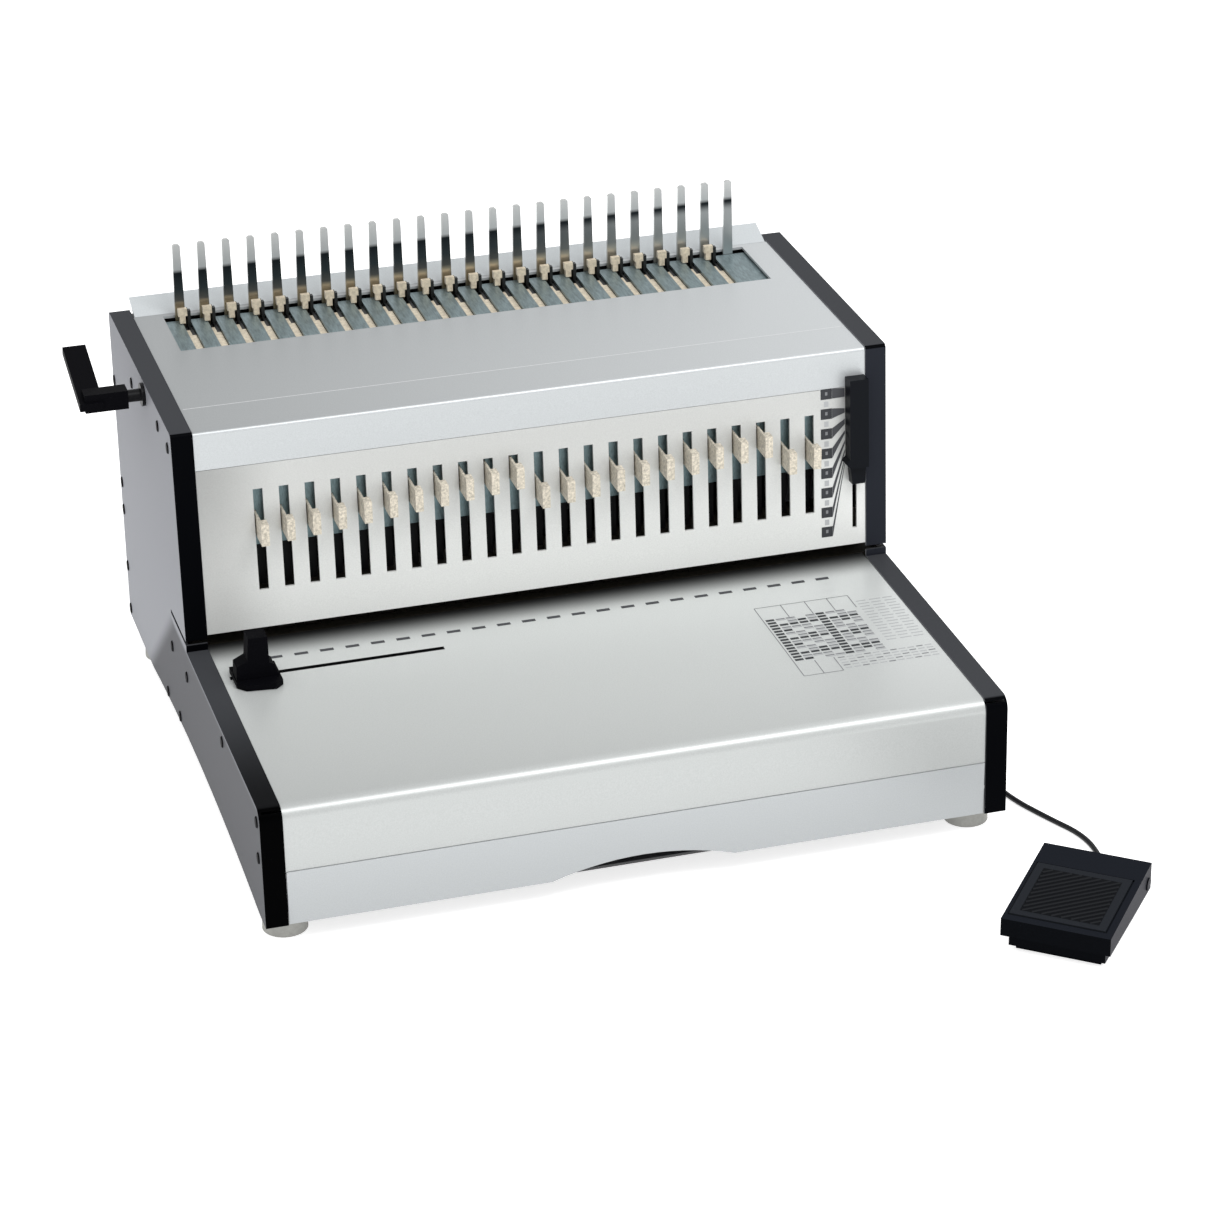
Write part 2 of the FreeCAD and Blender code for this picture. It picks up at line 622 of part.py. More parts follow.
def punch_bar():
    """The driven bar: pin channels, tab channels, post bores and two follower arms."""
    bar_span = ("bar_low_z", "bar_high_z")
    bar = block("bar_blank", (("-punch_half", "punch_half"), ("bar_front", "bar_rear"), bar_span))
    arms = []
    for side, tag in ((-1, "left"), (1, "right")):
        across = (f"{side} * cam_x - 8", f"{side} * cam_x + 8")
        top = "cam_z - cam_radius - gap"
        arms.append(block(f"arm_{tag}", (across, ("bar_rear + 1", "cam_y + 14"), (f"{top} - 12", top))))
        arms.append(block(f"arm_root_{tag}", (across, ("bar_rear", "bar_rear + 6"), bar_span)))
    bores = [rod(f"post_bore_{tag}", "post_radius + running_fit", "60",
                 (f"{side} * post_x", "post_y", "bar_low_z - 10"))
             for side, tag in ((-1, "left"), (1, "right"))]
    low = size("bar_low_z") - 1
    front = size("punch_y - hole_depth / 2")
    pin_room = []
    for index in range(int(size("die_count"))):
        top = size("tab_low_z - gap") + stagger(index)
        pin_room.append(Part.makeBox(size("hole_width"), size("hole_depth"), top - low,
                                     Vector(column_x(index) - size("hole_width") / 2, front, low)))
    tab_low = size("tab_low_z - gap")
    tab_high = tab_low + size("tab_height + 2 * gap")
    tab_room = columns_shape(tab_low, tab_high, size("tab_sheet + 2 * gap"), 0, 40, rise=True)
    tab_room.translate(Vector(size("tab_sheet / 2 - tab_left"), 0, 0))
    return node("punch_bar", cut("punch_bar", fuse("bar_with_arms", bar, *arms), *bores,
                                 solid("pin_room", Part.makeCompound(pin_room)), solid("tab_room", tab_room)))


def punch_pins():
    low = size("tab_low_z - gap - pin_length")
    front = size("punch_y - pin_depth / 2")
    high, rear = low + size("pin_length"), front + size("pin_depth")
    shape = columns_shape(low, high, size("pin_width"), front, rear, rise=True)
    return node("punch_pins", solid("punch_pins", shape))


def pin_tab(index):
    """A pull-out selector of bent sheet: a blade over its pin, a top flange and a front grip."""
    name = f"pin_tab_{index + 1:02d}"
    left = f"({column_x(index):.5f} - tab_left)"
    low = f"(tab_low_z + {stagger(index):.2f})"
    top = f"({low} + tab_height)"
    blade = block(name + "_blade", ((left, f"{left} + tab_sheet"), ("tab_front", "tab_rear"), (low, top)))
    flange = block(name + "_flange", ((left, f"{left} + 4.2"), ("tab_front", "tab_front + 6.5"),
                                      (f"{top} - tab_sheet", top)))
    grip = block(name + "_grip", ((left, f"{left} + 4.4"), ("tab_front", "tab_front + 1.6"),
                                  (low, f"{top} - 0.5")))
    return node(name, fuse(name, blade, flange, grip))


def cam_outline():
    """A cam whose reach below its centre grows evenly with its turn, then falls smoothly.

    The profile is the envelope of a flat follower: with reach h at body angle a, the
    touching point is h along the outward direction plus dh/da along the tangent.
    """
    rise = math.radians(size("cam_turn"))
    low, stroke = size("cam_radius"), size("punch_stroke")
    rate = stroke / rise
    blend = math.radians(40)
    rest = 2 * math.pi - rise
    crest = low + stroke + rate * blend / 2
    points = []
    count = 96
    for index in range(count):
        a = 2 * math.pi * index / count
        if a <= rise:
            reach, slope = low + rate * a, rate
        elif a <= rise + blend:
            t = (a - rise) / blend
            reach, slope = low + stroke + rate * blend * (t - t * t / 2), rate * (1 - t)
        else:
            t = (a - rise - blend) / (rest - blend)
            reach = low + (crest - low) * (1 + math.cos(math.pi * t)) / 2
            slope = -(crest - low) * math.pi / (2 * (rest - blend)) * math.sin(math.pi * t)
        y = reach * math.sin(a) + slope * math.cos(a)
        z = -reach * math.cos(a) + slope * math.sin(a)
        points.append((y, z))
    return points


def cam_shaft():
    """The drive shaft and its two cams, which push the follower arms down."""
    start = Vector(-140, size("cam_y"), size("cam_z"))
    shaft = Part.makeCylinder(size("shaft_radius"), 280, start, Vector(1, 0, 0))
    cams = []
    for side in (-1, 1):
        x = side * size("cam_x") - size("cam_width") / 2
        ring = [Vector(x, size("cam_y") - y, size("cam_z") + z) for y, z in cam_outline()]
        cams.append(prism(ring, Vector(size("cam_width"), 0, 0)))
    return node("cam_shaft", solid("cam_shaft", shaft.multiFuse(cams).removeSplitter()))


def shaft_bearings():
    """Two pillar bearings of the cam shaft and the bushes of the opener's shafts."""
    pillars = []
    for side, tag in ((-1, "left"), (1, "right")):
        across = (f"{side} * bearing_x - bearing_width / 2", f"{side} * bearing_x + bearing_width / 2")
        pillar = block(f"pillar_{tag}", (across, ("cam_y - 11", "cam_y + 11"), ("base_z + 3", "cam_z + 14")))
        start = (f"{across[0]} - 10", "cam_y", "cam_z")
        hole = rod(f"pillar_bore_{tag}", "shaft_radius + running_fit", "40", start, "X")
        pillars.append(cut(f"bearing_{tag}", pillar, hole))
    left = [rod("bush_flange", "lever_radius + 3", "2", ("-casing_width / 2 - 2", "lever_y", "lever_z"), "X"),
            rod("bush_sleeve", "lever_radius + bush_wall - 0.02", "11",
                ("-casing_width / 2", "lever_y", "lever_z"), "X")]
    left_bore = rod("bush_bore", "lever_radius + running_fit", "20",
                    ("-casing_width / 2 - 5", "lever_y", "lever_z"), "X")
    right = rod("end_bush", "lever_radius + 2", "14", ("casing_width / 2 - 15.5", "lever_y", "lever_z"), "X")
    right_bore = rod("end_bore", "lever_radius + running_fit", "10",
                     ("casing_width / 2 - 17", "lever_y", "lever_z"), "X")
    idlers = []
    for side, tag in ((-1, "left"), (1, "right")):
        z = "lever_z - sector_radius - idler_radius - gap"
        across = sorted((f"{side} * 186", f"{side} * 201"), key=size)
        boss = block(f"idler_boss_{tag}", (across, ("lever_y - 6", "lever_y + 6"), (f"{z} - 6", f"{z} + 6")))
        start = (f"{side} * 190 - 5" if side > 0 else "-190", "lever_y", z)
        hole = rod(f"idler_bore_{tag}", "3 + running_fit", "8", start, "X")
        idlers.append(cut(f"idler_bush_{tag}", boss, hole))
    bushes = [cut("lever_bush", fuse("bush_blank", *left), left_bore), cut("blind_bush", right, right_bore)]
    solids = pillars + bushes
    return node("shaft_bearings", together("shaft_bearings", *(solids + idlers)))


def gearbox():
    """The reduction gear's case, bored for the cam shaft, on its pedestal."""
    case = block("gear_case", (("-34", "34"), ("cam_y - 18", "cam_y + 32"), ("cam_z - 40", "cam_z + 32")))
    stand = block("gear_stand", (("-25", "25"), ("cam_y - 10", "cam_y + 24"), ("base_z + 3", "cam_z - 39")))
    bore = rod("case_bore", "shaft_radius + running_fit", "90", ("-45", "cam_y", "cam_z"), "X")
    return node("gearbox", cut("gearbox", fuse("gear_blank", case, stand), bore))


def motor():
    can = rod("motor_can", "motor_radius", "70", ("0", "cam_y + 32", "cam_z"), "Y")
    cap = rod("motor_cap", "motor_radius - 12", "10", ("0", "cam_y + 102", "cam_z"), "Y")
    return node("motor", fuse("motor", can, cap))


# ---------------------------------------------------------------- guides, knob, drawer
def edge_guide():
    """A post with side wings on a foot; its tongue runs in the deck's slot."""
    owner = body("edge_guide")
    low = "deck_z - seam + gap"
    front = outline(sketch(owner, "guide_front", "XZ_Plane", "-(guide_y - 6)"), [
        ("guide_x - 12", low), ("guide_x + 12.4", low), ("guide_x + 12", "deck_z + 2"),
        ("guide_x + 9", "deck_z + 10"), ("guide_x + 6.4", "deck_z + 11.4"), ("guide_x + 6", "deck_z + 27"),
        ("guide_x - 4.6", "deck_z + 27"), ("guide_x - 5.6", "deck_z + 14"), ("guide_x - 11.6", "deck_z + 11"),
    ])
    pad(owner, front, "10", middle=True)
    foot = outline(sketch(owner, "guide_foot", "XY_Plane", low), [
        ("guide_x - 12.4", "guide_y - 13"), ("guide_x - 8", "guide_y - 18"), ("guide_x + 8", "guide_y - 20"),
        ("guide_x + 12.4", "guide_y - 16"), ("guide_x + 12.4", "guide_y + 7"),
        ("guide_x - 12.4", "guide_y + 7"),
    ])
    pad(owner, foot, "3.2")
    tongue = outline(sketch(owner, "guide_tongue", "XY_Plane", low), [
        ("guide_x - 13", "guide_y - 1"), ("guide_x + 5", "guide_y - 1"),
        ("guide_x + 5", "guide_y + 1"), ("guide_x - 13", "guide_y + 1"),
    ])
    pad(owner, tongue, "5", back=True)
    keeper = outline(sketch(owner, "guide_keeper", "XY_Plane", f"{low} - 4"), [
        ("guide_x - 7", "guide_y - 5"), ("guide_x + 7", "guide_y - 5"),
        ("guide_x + 7", "guide_y + 5"), ("guide_x - 7", "guide_y + 5"),
    ])
    pad(owner, keeper, "2", back=True)
    return node("edge_guide", owner)


def size_knob():
    """A tall slider on the tower's face: cap, tapered end, pointer, neck and keeper."""
    owner = body("size_knob")
    low, high = "(knob_low_z - front_plate_z)", "(knob_high_z - front_plate_z)"
    front = outline(sketch(owner, "knob_front", "XZ_Plane", "gap"), [
        ("knob_x - 5", f"{low} + 10.6"), ("knob_x + 5.6", f"{low} + 10.6"), ("knob_x + 5.6", high),
        ("knob_x - 5.4", high), ("knob_x - 5.4", f"{low} + 16"), ("knob_x - 7.8", f"{low} + 13.5"),
    ])
    pad(owner, front, "8.5")
    toe = outline(sketch(owner, "knob_toe", "XZ_Plane", "gap"), [
        ("knob_x - 3.2", low), ("knob_x + 4.2", low), ("knob_x + 5", f"{low} + 10.7"),
        ("knob_x - 4.4", f"{low} + 10.7"),
    ])
    pad(owner, toe, "5.5")
    neck = outline(sketch(owner, "knob_neck", "XZ_Plane", "gap"), [
        ("knob_x - 1", f"{low} + 20"), ("knob_x + 1", f"{low} + 20"),
        ("knob_x + 1", f"{low} + 46"), ("knob_x - 1", f"{low} + 46"),
    ])
    pad(owner, neck, "sheet + 2 * gap + 0.2", back=True)
    keeper = outline(sketch(owner, "knob_keeper", "XZ_Plane", "-(sheet + gap)"), [
        ("knob_x - 4", f"{low} + 20"), ("knob_x + 4", f"{low} + 20"),
        ("knob_x + 4", f"{low} + 46"), ("knob_x - 4", f"{low} + 46"),
    ])
    pad(owner, keeper, "1.4", back=True)
    lean = Rotation(Vector(1, 0, 0), -math.degrees(math.atan(size("tower_slope"))))
    place(owner, ("0", tower_y_at("front_plate_z") + " + seam", "front_plate_z"), lean)
    return node("size_knob", owner)


def chip_drawer():
    """The lower front panel, arched for the fingers, with the chip tray behind it."""
    half = "(casing_width / 2 - band_width - 0.5)"
    face_y = base_y_at("base_z + 15") + " + seam"
    face = block("drawer_face", ((f"-{half}", half), (face_y, f"{face_y} + 2.5"), ("base_z", "drawer_top_z")))
    arch_radius = "(front_arch_half ^ 2 / (2 * arch_rise) + arch_rise / 2)"
    middle = ("0", f"{face_y} - 4", f"base_z + arch_rise - {arch_radius}")
    arch = rod("finger_arch", arch_radius, "10", middle, "Y")
    tray = block("tray_block", (("-tray_half", "tray_half"), (f"{face_y} + 2.5", "tray_rear"),
                                ("tray_low_z", "tray_high_z")))
    room = block("tray_room", (("-tray_half + sheet", "tray_half - sheet"),
                               (f"{face_y} + 2.5 + sheet", "tray_rear - sheet"),
                               ("tray_low_z + sheet", "tray_high_z + 5")))
    along, upright = ("-casing_depth / 2 + 12", "tray_rear - 4"), ("base_z + 3 + gap", "tray_low_z + 1")
    skids = []
    for side, tag in ((-1, "left"), (1, "right")):
        across = sorted((f"{side} * (tray_half - 10)", f"{side} * (tray_half - 6)"), key=size)
        skids.append(block(f"skid_{tag}", (across, along, upright)))
    return node("chip_drawer", fuse("chip_drawer", cut("drawer_front", face, arch),
                                    cut("drawer_tray", tray, room), *skids))


# ---------------------------------------------------------------- electrics
def control_board():
    board = block("board", (("60", "165"), ("105", "180"), ("30", "31.6")))
    relay = block("relay", (("75", "95"), ("120", "136"), ("31.6", "47")))
    heatsink = block("heatsink", (("125", "155"), ("150", "160"), ("31.6", "60")))
    posts = [rod(f"standoff_{x}_{y}", "3", "30 - base_z - 3", (x, y, "base_z + 3"))
             for x in (66, 159) for y in (111, 174)]
    return node("control_board", fuse("control_board", board, relay, heatsink, *posts))


def power_inlet():
    """The mains socket and the switch's seat in one moulded housing."""
    rear = "casing_depth / 2"
    case = block("inlet_case", (("-163.5", "-136.5"), (f"{rear} - 30", f"{rear} - 0.4"), ("31.5", "78.5")))
    rim = block("inlet_rim", (("-167", "-133"), (f"{rear} - 0.5", f"{rear} + 1.5"), ("28", "82")))
    socket = block("inlet_socket", (("-162", "-138"), (f"{rear} - 15", f"{rear} + 3"), ("34", "51")))
    seat = block("switch_seat", (("-160.5", "-139.5"), (f"{rear} - 12", f"{rear} + 3"), ("58", "73")))
    return node("power_inlet", cut("power_inlet", fuse("inlet_blank", case, rim), socket, seat))


def power_rocker():
    """A rocker whose two faces meet at a shallow angle; it tips about its middle."""
    rear = size("casing_depth / 2")
    middle = 65.5
    corners = [(-3, -6.6), (1.2, -6.6), (0.6, -1), (0.6, 1), (4.2, 6.2), (-3, 6.6)]
    rocker = prism([Vector(-160, rear + y, middle + z) for y, z in corners], Vector(20, 0, 0))
    pivot = Part.makeCylinder(1.3, 20.6, Vector(-160.3, rear - 1, middle), Vector(1, 0, 0))
    return node("power_rocker", solid("power_rocker", rocker.fuse(pivot).removeSplitter()))


def cord_gland():
    """The strain relief where the pedal's cord leaves the rear cover."""
    rear = "casing_depth / 2"
    collar = rod("gland_collar", "8", "5", ("gland_x", f"{rear} - 0.5", "gland_z"), "Y")
    nose = rod("gland_nose", "5", "7.5", ("gland_x", f"{rear} + 4", "gland_z"), "Y")
    nut = rod("gland_nut", "5", "12", ("gland_x", f"{rear} - 10", "gland_z"), "Y")
    bore = rod("gland_bore", "cord_radius", "40", ("gland_x", f"{rear} - 20", "gland_z"), "Y")
    return node("cord_gland", cut("cord_gland", fuse("gland_blank", collar, nose, nut), bore))


# ---------------------------------------------------------------- foot pedal
def pedal_place():
    turn = Rotation(Vector(0, 0, 1), size("pedal_turn"))
    return Placement(Vector(size("pedal_x"), size("pedal_y"), 0), turn)


def pedal_box(width, front, rear, low, high):
    return Part.makeBox(width, rear - front, high - low, Vector(-width / 2, front, low))


def pedal_base():
    """The floor plate and tray with two ears that hold the hinge pin, a switch and a cord entry."""
    inner_width = size("pedal_width") - 7
    half = size("pedal_length") / 2
    plate = pedal_box(inner_width - 6, 7 - half, half - 6, 0, 4)
    tray = pedal_box(inner_width, 3.8 - half, half - 3.5, 3, 12)
    ears = []
    for side in (-1, 1):
        x = side * (inner_width / 2 - 2.5) - 2.5
        ears.append(Part.makeBox(5, 6, 6.5, Vector(x, size("pivot_y") - 3, 11.5)))
    switch = pedal_box(12, -18, -6, 11.5, 14.9)
    entry = Part.makeCylinder(2.2, 12, Vector(size("entry_x"), half - 8, 2.3), Vector(0, 1, 0))
    span = size("pedal_width") + 1.6
    pin = Part.makeCylinder(size("pivot_radius"), span, Vector(-span / 2, size("pivot_y"), size("pivot_z")),
                            Vector(1, 0, 0))
    shape = plate.multiFuse(ears + [tray, switch, entry, pin]).removeSplitter()
    return node("pedal_base", solid("pedal_base", shape, pedal_place()))


def tread_outline(inset, low):
    """The tread seen from its side: higher at the rear than at the front."""
    half = size("pedal_length") / 2
    front_z, rear_z = size("pedal_front_z"), size("pedal_rear_z")
    return [(-half + inset, low), (-half + inset, front_z - inset), (half - inset, rear_z - inset),
            (half - inset, low)]


def pedal_tread():
    """The rocking cover: a shell with a recess on top for the rubber pad."""
    width = size("pedal_width")
    outside = [Vector(-width / 2, y, z) for y, z in tread_outline(0, size("skirt_z"))]
    inside = [Vector(-width / 2 + 2.5, y, z) for y, z in tread_outline(2.5, 0)]
    outer, hollow = prism(outside, Vector(width, 0, 0)), prism(inside, Vector(width - 5, 0, 0))
    bore = Part.makeCylinder(size("pivot_radius + running_fit"), width + 4,
                             Vector(-width / 2 - 2, size("pivot_y"), size("pivot_z")), Vector(1, 0, 0))
    recess = pad_shape(26.3, -32.3, 18.5, 1.2, 6)
    return node("pedal_tread", solid("pedal_tread", outer.cut(hollow).cut(bore).cut(recess).removeSplitter(),
                                     pedal_place()))


def pad_shape(half_width, front, rear, depth, height):
    """A slab let into the tread's sloping top by a depth, a little left of the middle."""
    half = size("pedal_length") / 2
    slope = (size("pedal_rear_z") - size("pedal_front_z")) / (2 * half)

    def top(y):
        return size("pedal_front_z") + slope * (y + half)

    corners = [(front, top(front) - depth), (rear, top(rear) - depth),
               (rear, top(rear) - depth + height), (front, top(front) - depth + height)]
    left = size("pad_middle") - half_width
    return prism([Vector(left, y, z) for y, z in corners], Vector(2 * half_width, 0, 0))


def tread_pad():
    return node("tread_pad", solid("tread_pad", pad_shape(25.4, -31.4, 17.6, 1.2, 1.6), pedal_place()))


# ---------------------------------------------------------------- the pedal's cord
def tube(points, radius):
    """A round tube of straight runs joined by tangent arcs; returns it and its length."""
    runs = [(points[k + 1] - points[k]).Length for k in range(len(points) - 1)]
    edges, start, bends, length = [], points[0], [], 0.0
    for k in range(1, len(points) - 1):
        back = (points[k - 1] - points[k]).normalize()
        ahead = (points[k + 1] - points[k]).normalize()
        turn = math.pi - back.getAngle(ahead)
        bend = 0.45 * min(runs[k - 1], runs[k]) / math.tan(turn / 2)
        reach = bend * math.tan(turn / 2)
        enter, leave = points[k] + back * reach, points[k] + ahead * reach
        centre = points[k] + (back + ahead).normalize() * (bend / math.cos(turn / 2))
        middle = centre + (points[k] - centre).normalize() * bend
        edges += [Part.makeLine(start, enter), Part.Arc(enter, middle, leave).toShape()]
        start = leave
        bends.append(bend)
    edges.append(Part.makeLine(start, points[-1]))
    length = sum(edge.Length for edge in edges)
    path = Part.Wire(edges)
    ring = Part.Wire(Part.makeCircle(radius, points[0], points[1] - points[0]))
    shape = path.makePipeShell([ring], True, True)
    share = shape.Volume / (math.pi * radius ** 2 * length)
    print(f"cord stretch {length:.1f} mm, smallest bend {min(bends):.1f} mm, volume share {share:.4f}")
    return shape


def pedal_cord():
    """Two stretches: from the gland to the coil, and from the coil to the pedal."""
    gland_end = size("casing_depth / 2 + 11.5")
    x, z = size("gland_x"), size("gland_z")
    coil_x, coil_y = size("coil_x"), size("coil_y")
    outer = size("coil_radius + cord_radius")
    drop = [Vector(x, gland_end, z), Vector(x, gland_end + 20, z - 1.5),
            Vector(x - 2, gland_end + 38, z - 16), Vector(coil_x + outer, coil_y - 2, 14)]
    floor = 1.8
    entry = pedal_place().multVec(Vector(size("entry_x"), size("pedal_length") / 2 + 4.6, 2.3))
    run = [Vector(coil_x, coil_y - outer, floor), Vector(150, 237, floor), Vector(180, 226, floor),
           Vector(204, 204, floor), Vector(214, 174, floor), Vector(214.5, 138, floor),
           Vector(211.5, 96, floor), Vector(214, 50, floor), Vector(212, 5, floor), Vector(214, -40, floor),
           Vector(211.5, -85, floor), Vector(212.5, -125, floor), Vector(217.5, -160, floor),
           Vector(229, -188, floor), Vector(239.5, -210, floor), Vector(240, -232, floor), entry]
    radius = size("cord_radius")
    return node("pedal_cord", solid("pedal_cord", Part.makeCompound([tube(drop, radius), tube(run, radius)])))


def cord_coil():
    """The outer shape of the spare cord, wound in two columns of turns."""
    x, y, wide = size("coil_x"), size("coil_y"), size("cord_radius")
    outer = Part.makeCylinder(size("coil_radius") + 2 * wide, 15.5, Vector(x, y, 0.3))
    inner = Part.makeCylinder(size("coil_radius") - 2 * wide, 30, Vector(x, y, -5))
    return node("cord_coil", solid("cord_coil", outer.cut(inner)))


# ---------------------------------------------------------------- build and write
side_panel("side_panel_left", -1)
side_panel("side_panel_right", 1)
for build in (top_cover, front_plate, deck_cover, bottom_plate, rear_cover, rear_fence, rubber_feet,
              slit_plate, comb_fingers, rake_hooks, rake_frame, opener_shaft, opener_lever, idler_gears,
              die_plate, punch_guide, guide_posts, punch_bar, punch_pins, cam_shaft, shaft_bearings,
              gearbox, motor, edge_guide, size_knob, chip_drawer, control_board, power_inlet,
              power_rocker, cord_gland, pedal_base, pedal_tread, tread_pad, pedal_cord, cord_coil):
    build()
for number in range(int(size("die_count"))):
    pin_tab(number)
for item in nodes:
    rules = dict(item.ExpressionEngine)
    for axis in "xy":
        spot = "Placement.Base." + axis
        now = rules.get("." + spot, rules.get(spot, getattr(item.Placement.Base, axis)))
        item.setExpression(spot, f"({now}) - Dims.origin_{axis}")
doc.recompute()

for item in doc.Objects:
    if "Invalid" in item.State or "Error" in item.State:
        raise RuntimeError(f"{item.Name} failed to build: {item.State}")
os.makedirs("parts", exist_ok=True)
for item in nodes:
    if item.Shape.isNull() or not item.Shape.isValid():
        raise RuntimeError(f"{item.Label} has no valid shape")
for item in nodes:
    item.Shape.exportStep(f"parts/{item.Label}.step")
print(len(nodes), "sub-parts written")
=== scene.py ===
import json
import math

import bpy
from mathutils import Matrix, Vector


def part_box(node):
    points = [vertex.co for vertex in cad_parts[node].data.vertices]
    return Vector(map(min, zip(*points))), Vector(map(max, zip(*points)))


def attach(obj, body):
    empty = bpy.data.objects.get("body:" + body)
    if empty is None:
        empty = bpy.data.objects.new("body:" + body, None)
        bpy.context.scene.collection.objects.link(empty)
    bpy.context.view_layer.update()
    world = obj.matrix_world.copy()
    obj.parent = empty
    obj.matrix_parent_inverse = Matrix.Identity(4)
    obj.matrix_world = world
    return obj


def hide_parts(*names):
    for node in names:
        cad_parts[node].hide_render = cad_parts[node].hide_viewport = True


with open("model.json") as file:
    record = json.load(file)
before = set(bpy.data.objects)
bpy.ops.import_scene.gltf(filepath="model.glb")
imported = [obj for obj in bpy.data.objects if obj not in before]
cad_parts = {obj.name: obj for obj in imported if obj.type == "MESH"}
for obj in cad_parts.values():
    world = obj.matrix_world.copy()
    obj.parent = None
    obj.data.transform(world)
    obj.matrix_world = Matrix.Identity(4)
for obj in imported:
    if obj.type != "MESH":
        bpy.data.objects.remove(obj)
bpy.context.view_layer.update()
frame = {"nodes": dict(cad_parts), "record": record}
nodes = frame["nodes"]

# ------------------------------------------------------------------ driving dimensions
# CENTRE is in metres, as the frame is. All the lengths after MM are in millimetres.
left_low, left_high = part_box("side_panel_left")
right_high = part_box("side_panel_right")[1]
CENTRE = Vector(((left_low.x + right_high.x) / 2, (left_low.y + left_high.y) / 2, 0))
MM = 1000
PIN_PITCH = MM * (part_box("pin_tab_02")[0].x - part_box("pin_tab_01")[0].x)
COLUMNS = 23
CASE_TOP = 206.0

PEDAL_TURN = math.radians(-39.3)
PEDAL_PLACE = (199.8, -296.4)
PEDAL_ACROSS = (math.cos(PEDAL_TURN), math.sin(PEDAL_TURN), 0)
PEDAL_ALONG = (-math.sin(PEDAL_TURN), math.cos(PEDAL_TURN), 0)

# The pad's ribbed field: its middle and half size across and along the pedal.
FIELD_MIDDLE = (-1, -7)
FIELD_HALF = (20.5, 20)
FIELD_MARGIN = 0.5

LEFT, RIGHT, FRONT, UP = (-1, 0, 0), (1, 0, 0), (0, -1, 0), (0, 0, 1)


def at(x, y, z):
    """A point given in millimetres from the middle of the casing's footprint."""
    return CENTRE + Vector((x, y, z)) / MM


# ------------------------------------------------------------------ shader nodes
def shader(name, color, metallic=0.0, roughness=0.5, specular=0.5):
    """A plain material of one colour."""
    made = bpy.data.materials.new(name)
    made.use_nodes = True
    surface = made.node_tree.nodes["Principled BSDF"]
    surface.inputs["Base Color"].default_value = (*color, 1)
    surface.inputs["Metallic"].default_value = metallic
    surface.inputs["Roughness"].default_value = roughness
    surface.inputs["Specular IOR Level"].default_value = specular
    return made


def add(made, kind, **values):
    """A new node; each value goes to the input of that name, or else to the node's own setting."""
    item = made.node_tree.nodes.new(kind)
    for key, value in values.items():
        if key in item.inputs:
            item.inputs[key].default_value = value
        else:
            setattr(item, key, value)
    return item


def join(made, source, output, target, socket):
    """Link one node's output to another node's input."""
    made.node_tree.links.new(source.outputs[output], target.inputs[socket])


def base_inlet(made):
    """The shader's own colour input."""
    return made.node_tree.nodes["Principled BSDF"].inputs["Base Color"]


def base_source(made):
    """The socket or colour that the base colour comes from now."""
    inlet = base_inlet(made)
    return inlet.links[0].from_socket if inlet.links else tuple(inlet.default_value)


def grain(made, color, spread, scale, bump, stretch=(1, 1, 1)):
    """Fine mottling of the colour and a faint matching bump."""
    surface = made.node_tree.nodes["Principled BSDF"]
    where = add(made, "ShaderNodeTexCoord")
    sized = add(made, "ShaderNodeMapping")
    sized.inputs["Scale"].default_value = stretch
    noise = add(made, "ShaderNodeTexNoise", Scale=scale, Detail=4.0, Roughness=0.6)
    ramp = add(made, "ShaderNodeValToRGB")
    low, high = ramp.color_ramp.elements
    low.position, high.position = 0.3, 0.7
    low.color = (*[c * (1 - spread) for c in color], 1)
    high.color = (*[min(1, c * (1 + spread)) for c in color], 1)
    join(made, where, "Object", sized, "Vector")
    join(made, sized, "Vector", noise, "Vector")
    join(made, noise, "Fac", ramp, "Fac")
    join(made, ramp, "Color", surface, "Base Color")
    raised = add(made, "ShaderNodeBump", Strength=bump, Distance=0.0004)
    join(made, noise, "Fac", raised, "Height")
    join(made, raised, "Normal", surface, "Normal")
    return made


def grainy(name, color, metallic, roughness, specular=0.5, **texture):
    """A material whose colour is mottled."""
    return grain(shader(name, color, metallic, roughness, specular), color, **texture)


def math_node(made, operation, *values):
    """One arithmetic step; each value is a number or an output socket."""
    item = add(made, "ShaderNodeMath", operation=operation)
    for index, value in enumerate(values):
        if isinstance(value, (int, float)):
            item.inputs[index].default_value = value
        else:
            made.node_tree.links.new(value, item.inputs[index])
    return item.outputs[0]


def times(made, first, second):
    return math_node(made, "MULTIPLY", first, second)


def plus(made, first, second):
    return math_node(made, "ADD", first, second)


def inverse(made, value):
    """1 minus a socket."""
    return math_node(made, "SUBTRACT", 1.0, value)


def either(made, first, second):
    return math_node(made, "MAXIMUM", first, second)


def ramp_between(made, value, low, high, curve="SMOOTHSTEP"):
    """0 below low, 1 above high, and a smooth or linear rise between."""
    item = add(made, "ShaderNodeMapRange")
    item.interpolation_type = curve
    item.inputs["From Min"].default_value = low
    item.inputs["From Max"].default_value = high
    made.node_tree.links.new(value, item.inputs["Value"])
    return item.outputs["Result"]


def spot(made):
    """The point's coordinates in millimetres from the middle of the casing, as three sockets."""
    where = add(made, "ShaderNodeTexCoord")
    shifted = add(made, "ShaderNodeVectorMath", operation="SUBTRACT")
    scaled = add(made, "ShaderNodeVectorMath", operation="SCALE")
    shifted.inputs[1].default_value = CENTRE
    scaled.inputs["Scale"].default_value = MM
    split = add(made, "ShaderNodeSeparateXYZ")
    join(made, where, "Object", shifted, 0)
    join(made, shifted, 0, scaled, 0)
    join(made, scaled, 0, split, 0)
    return split.outputs


def facing(made, axis, low, high):
    """1 where the surface looks along an axis, 0 where it looks elsewhere."""
    where = add(made, "ShaderNodeTexCoord")
    dot = add(made, "ShaderNodeVectorMath", operation="DOT_PRODUCT")
    dot.inputs[1].default_value = axis
    join(made, where, "Normal", dot, 0)
    return ramp_between(made, dot.outputs["Value"], low, high)


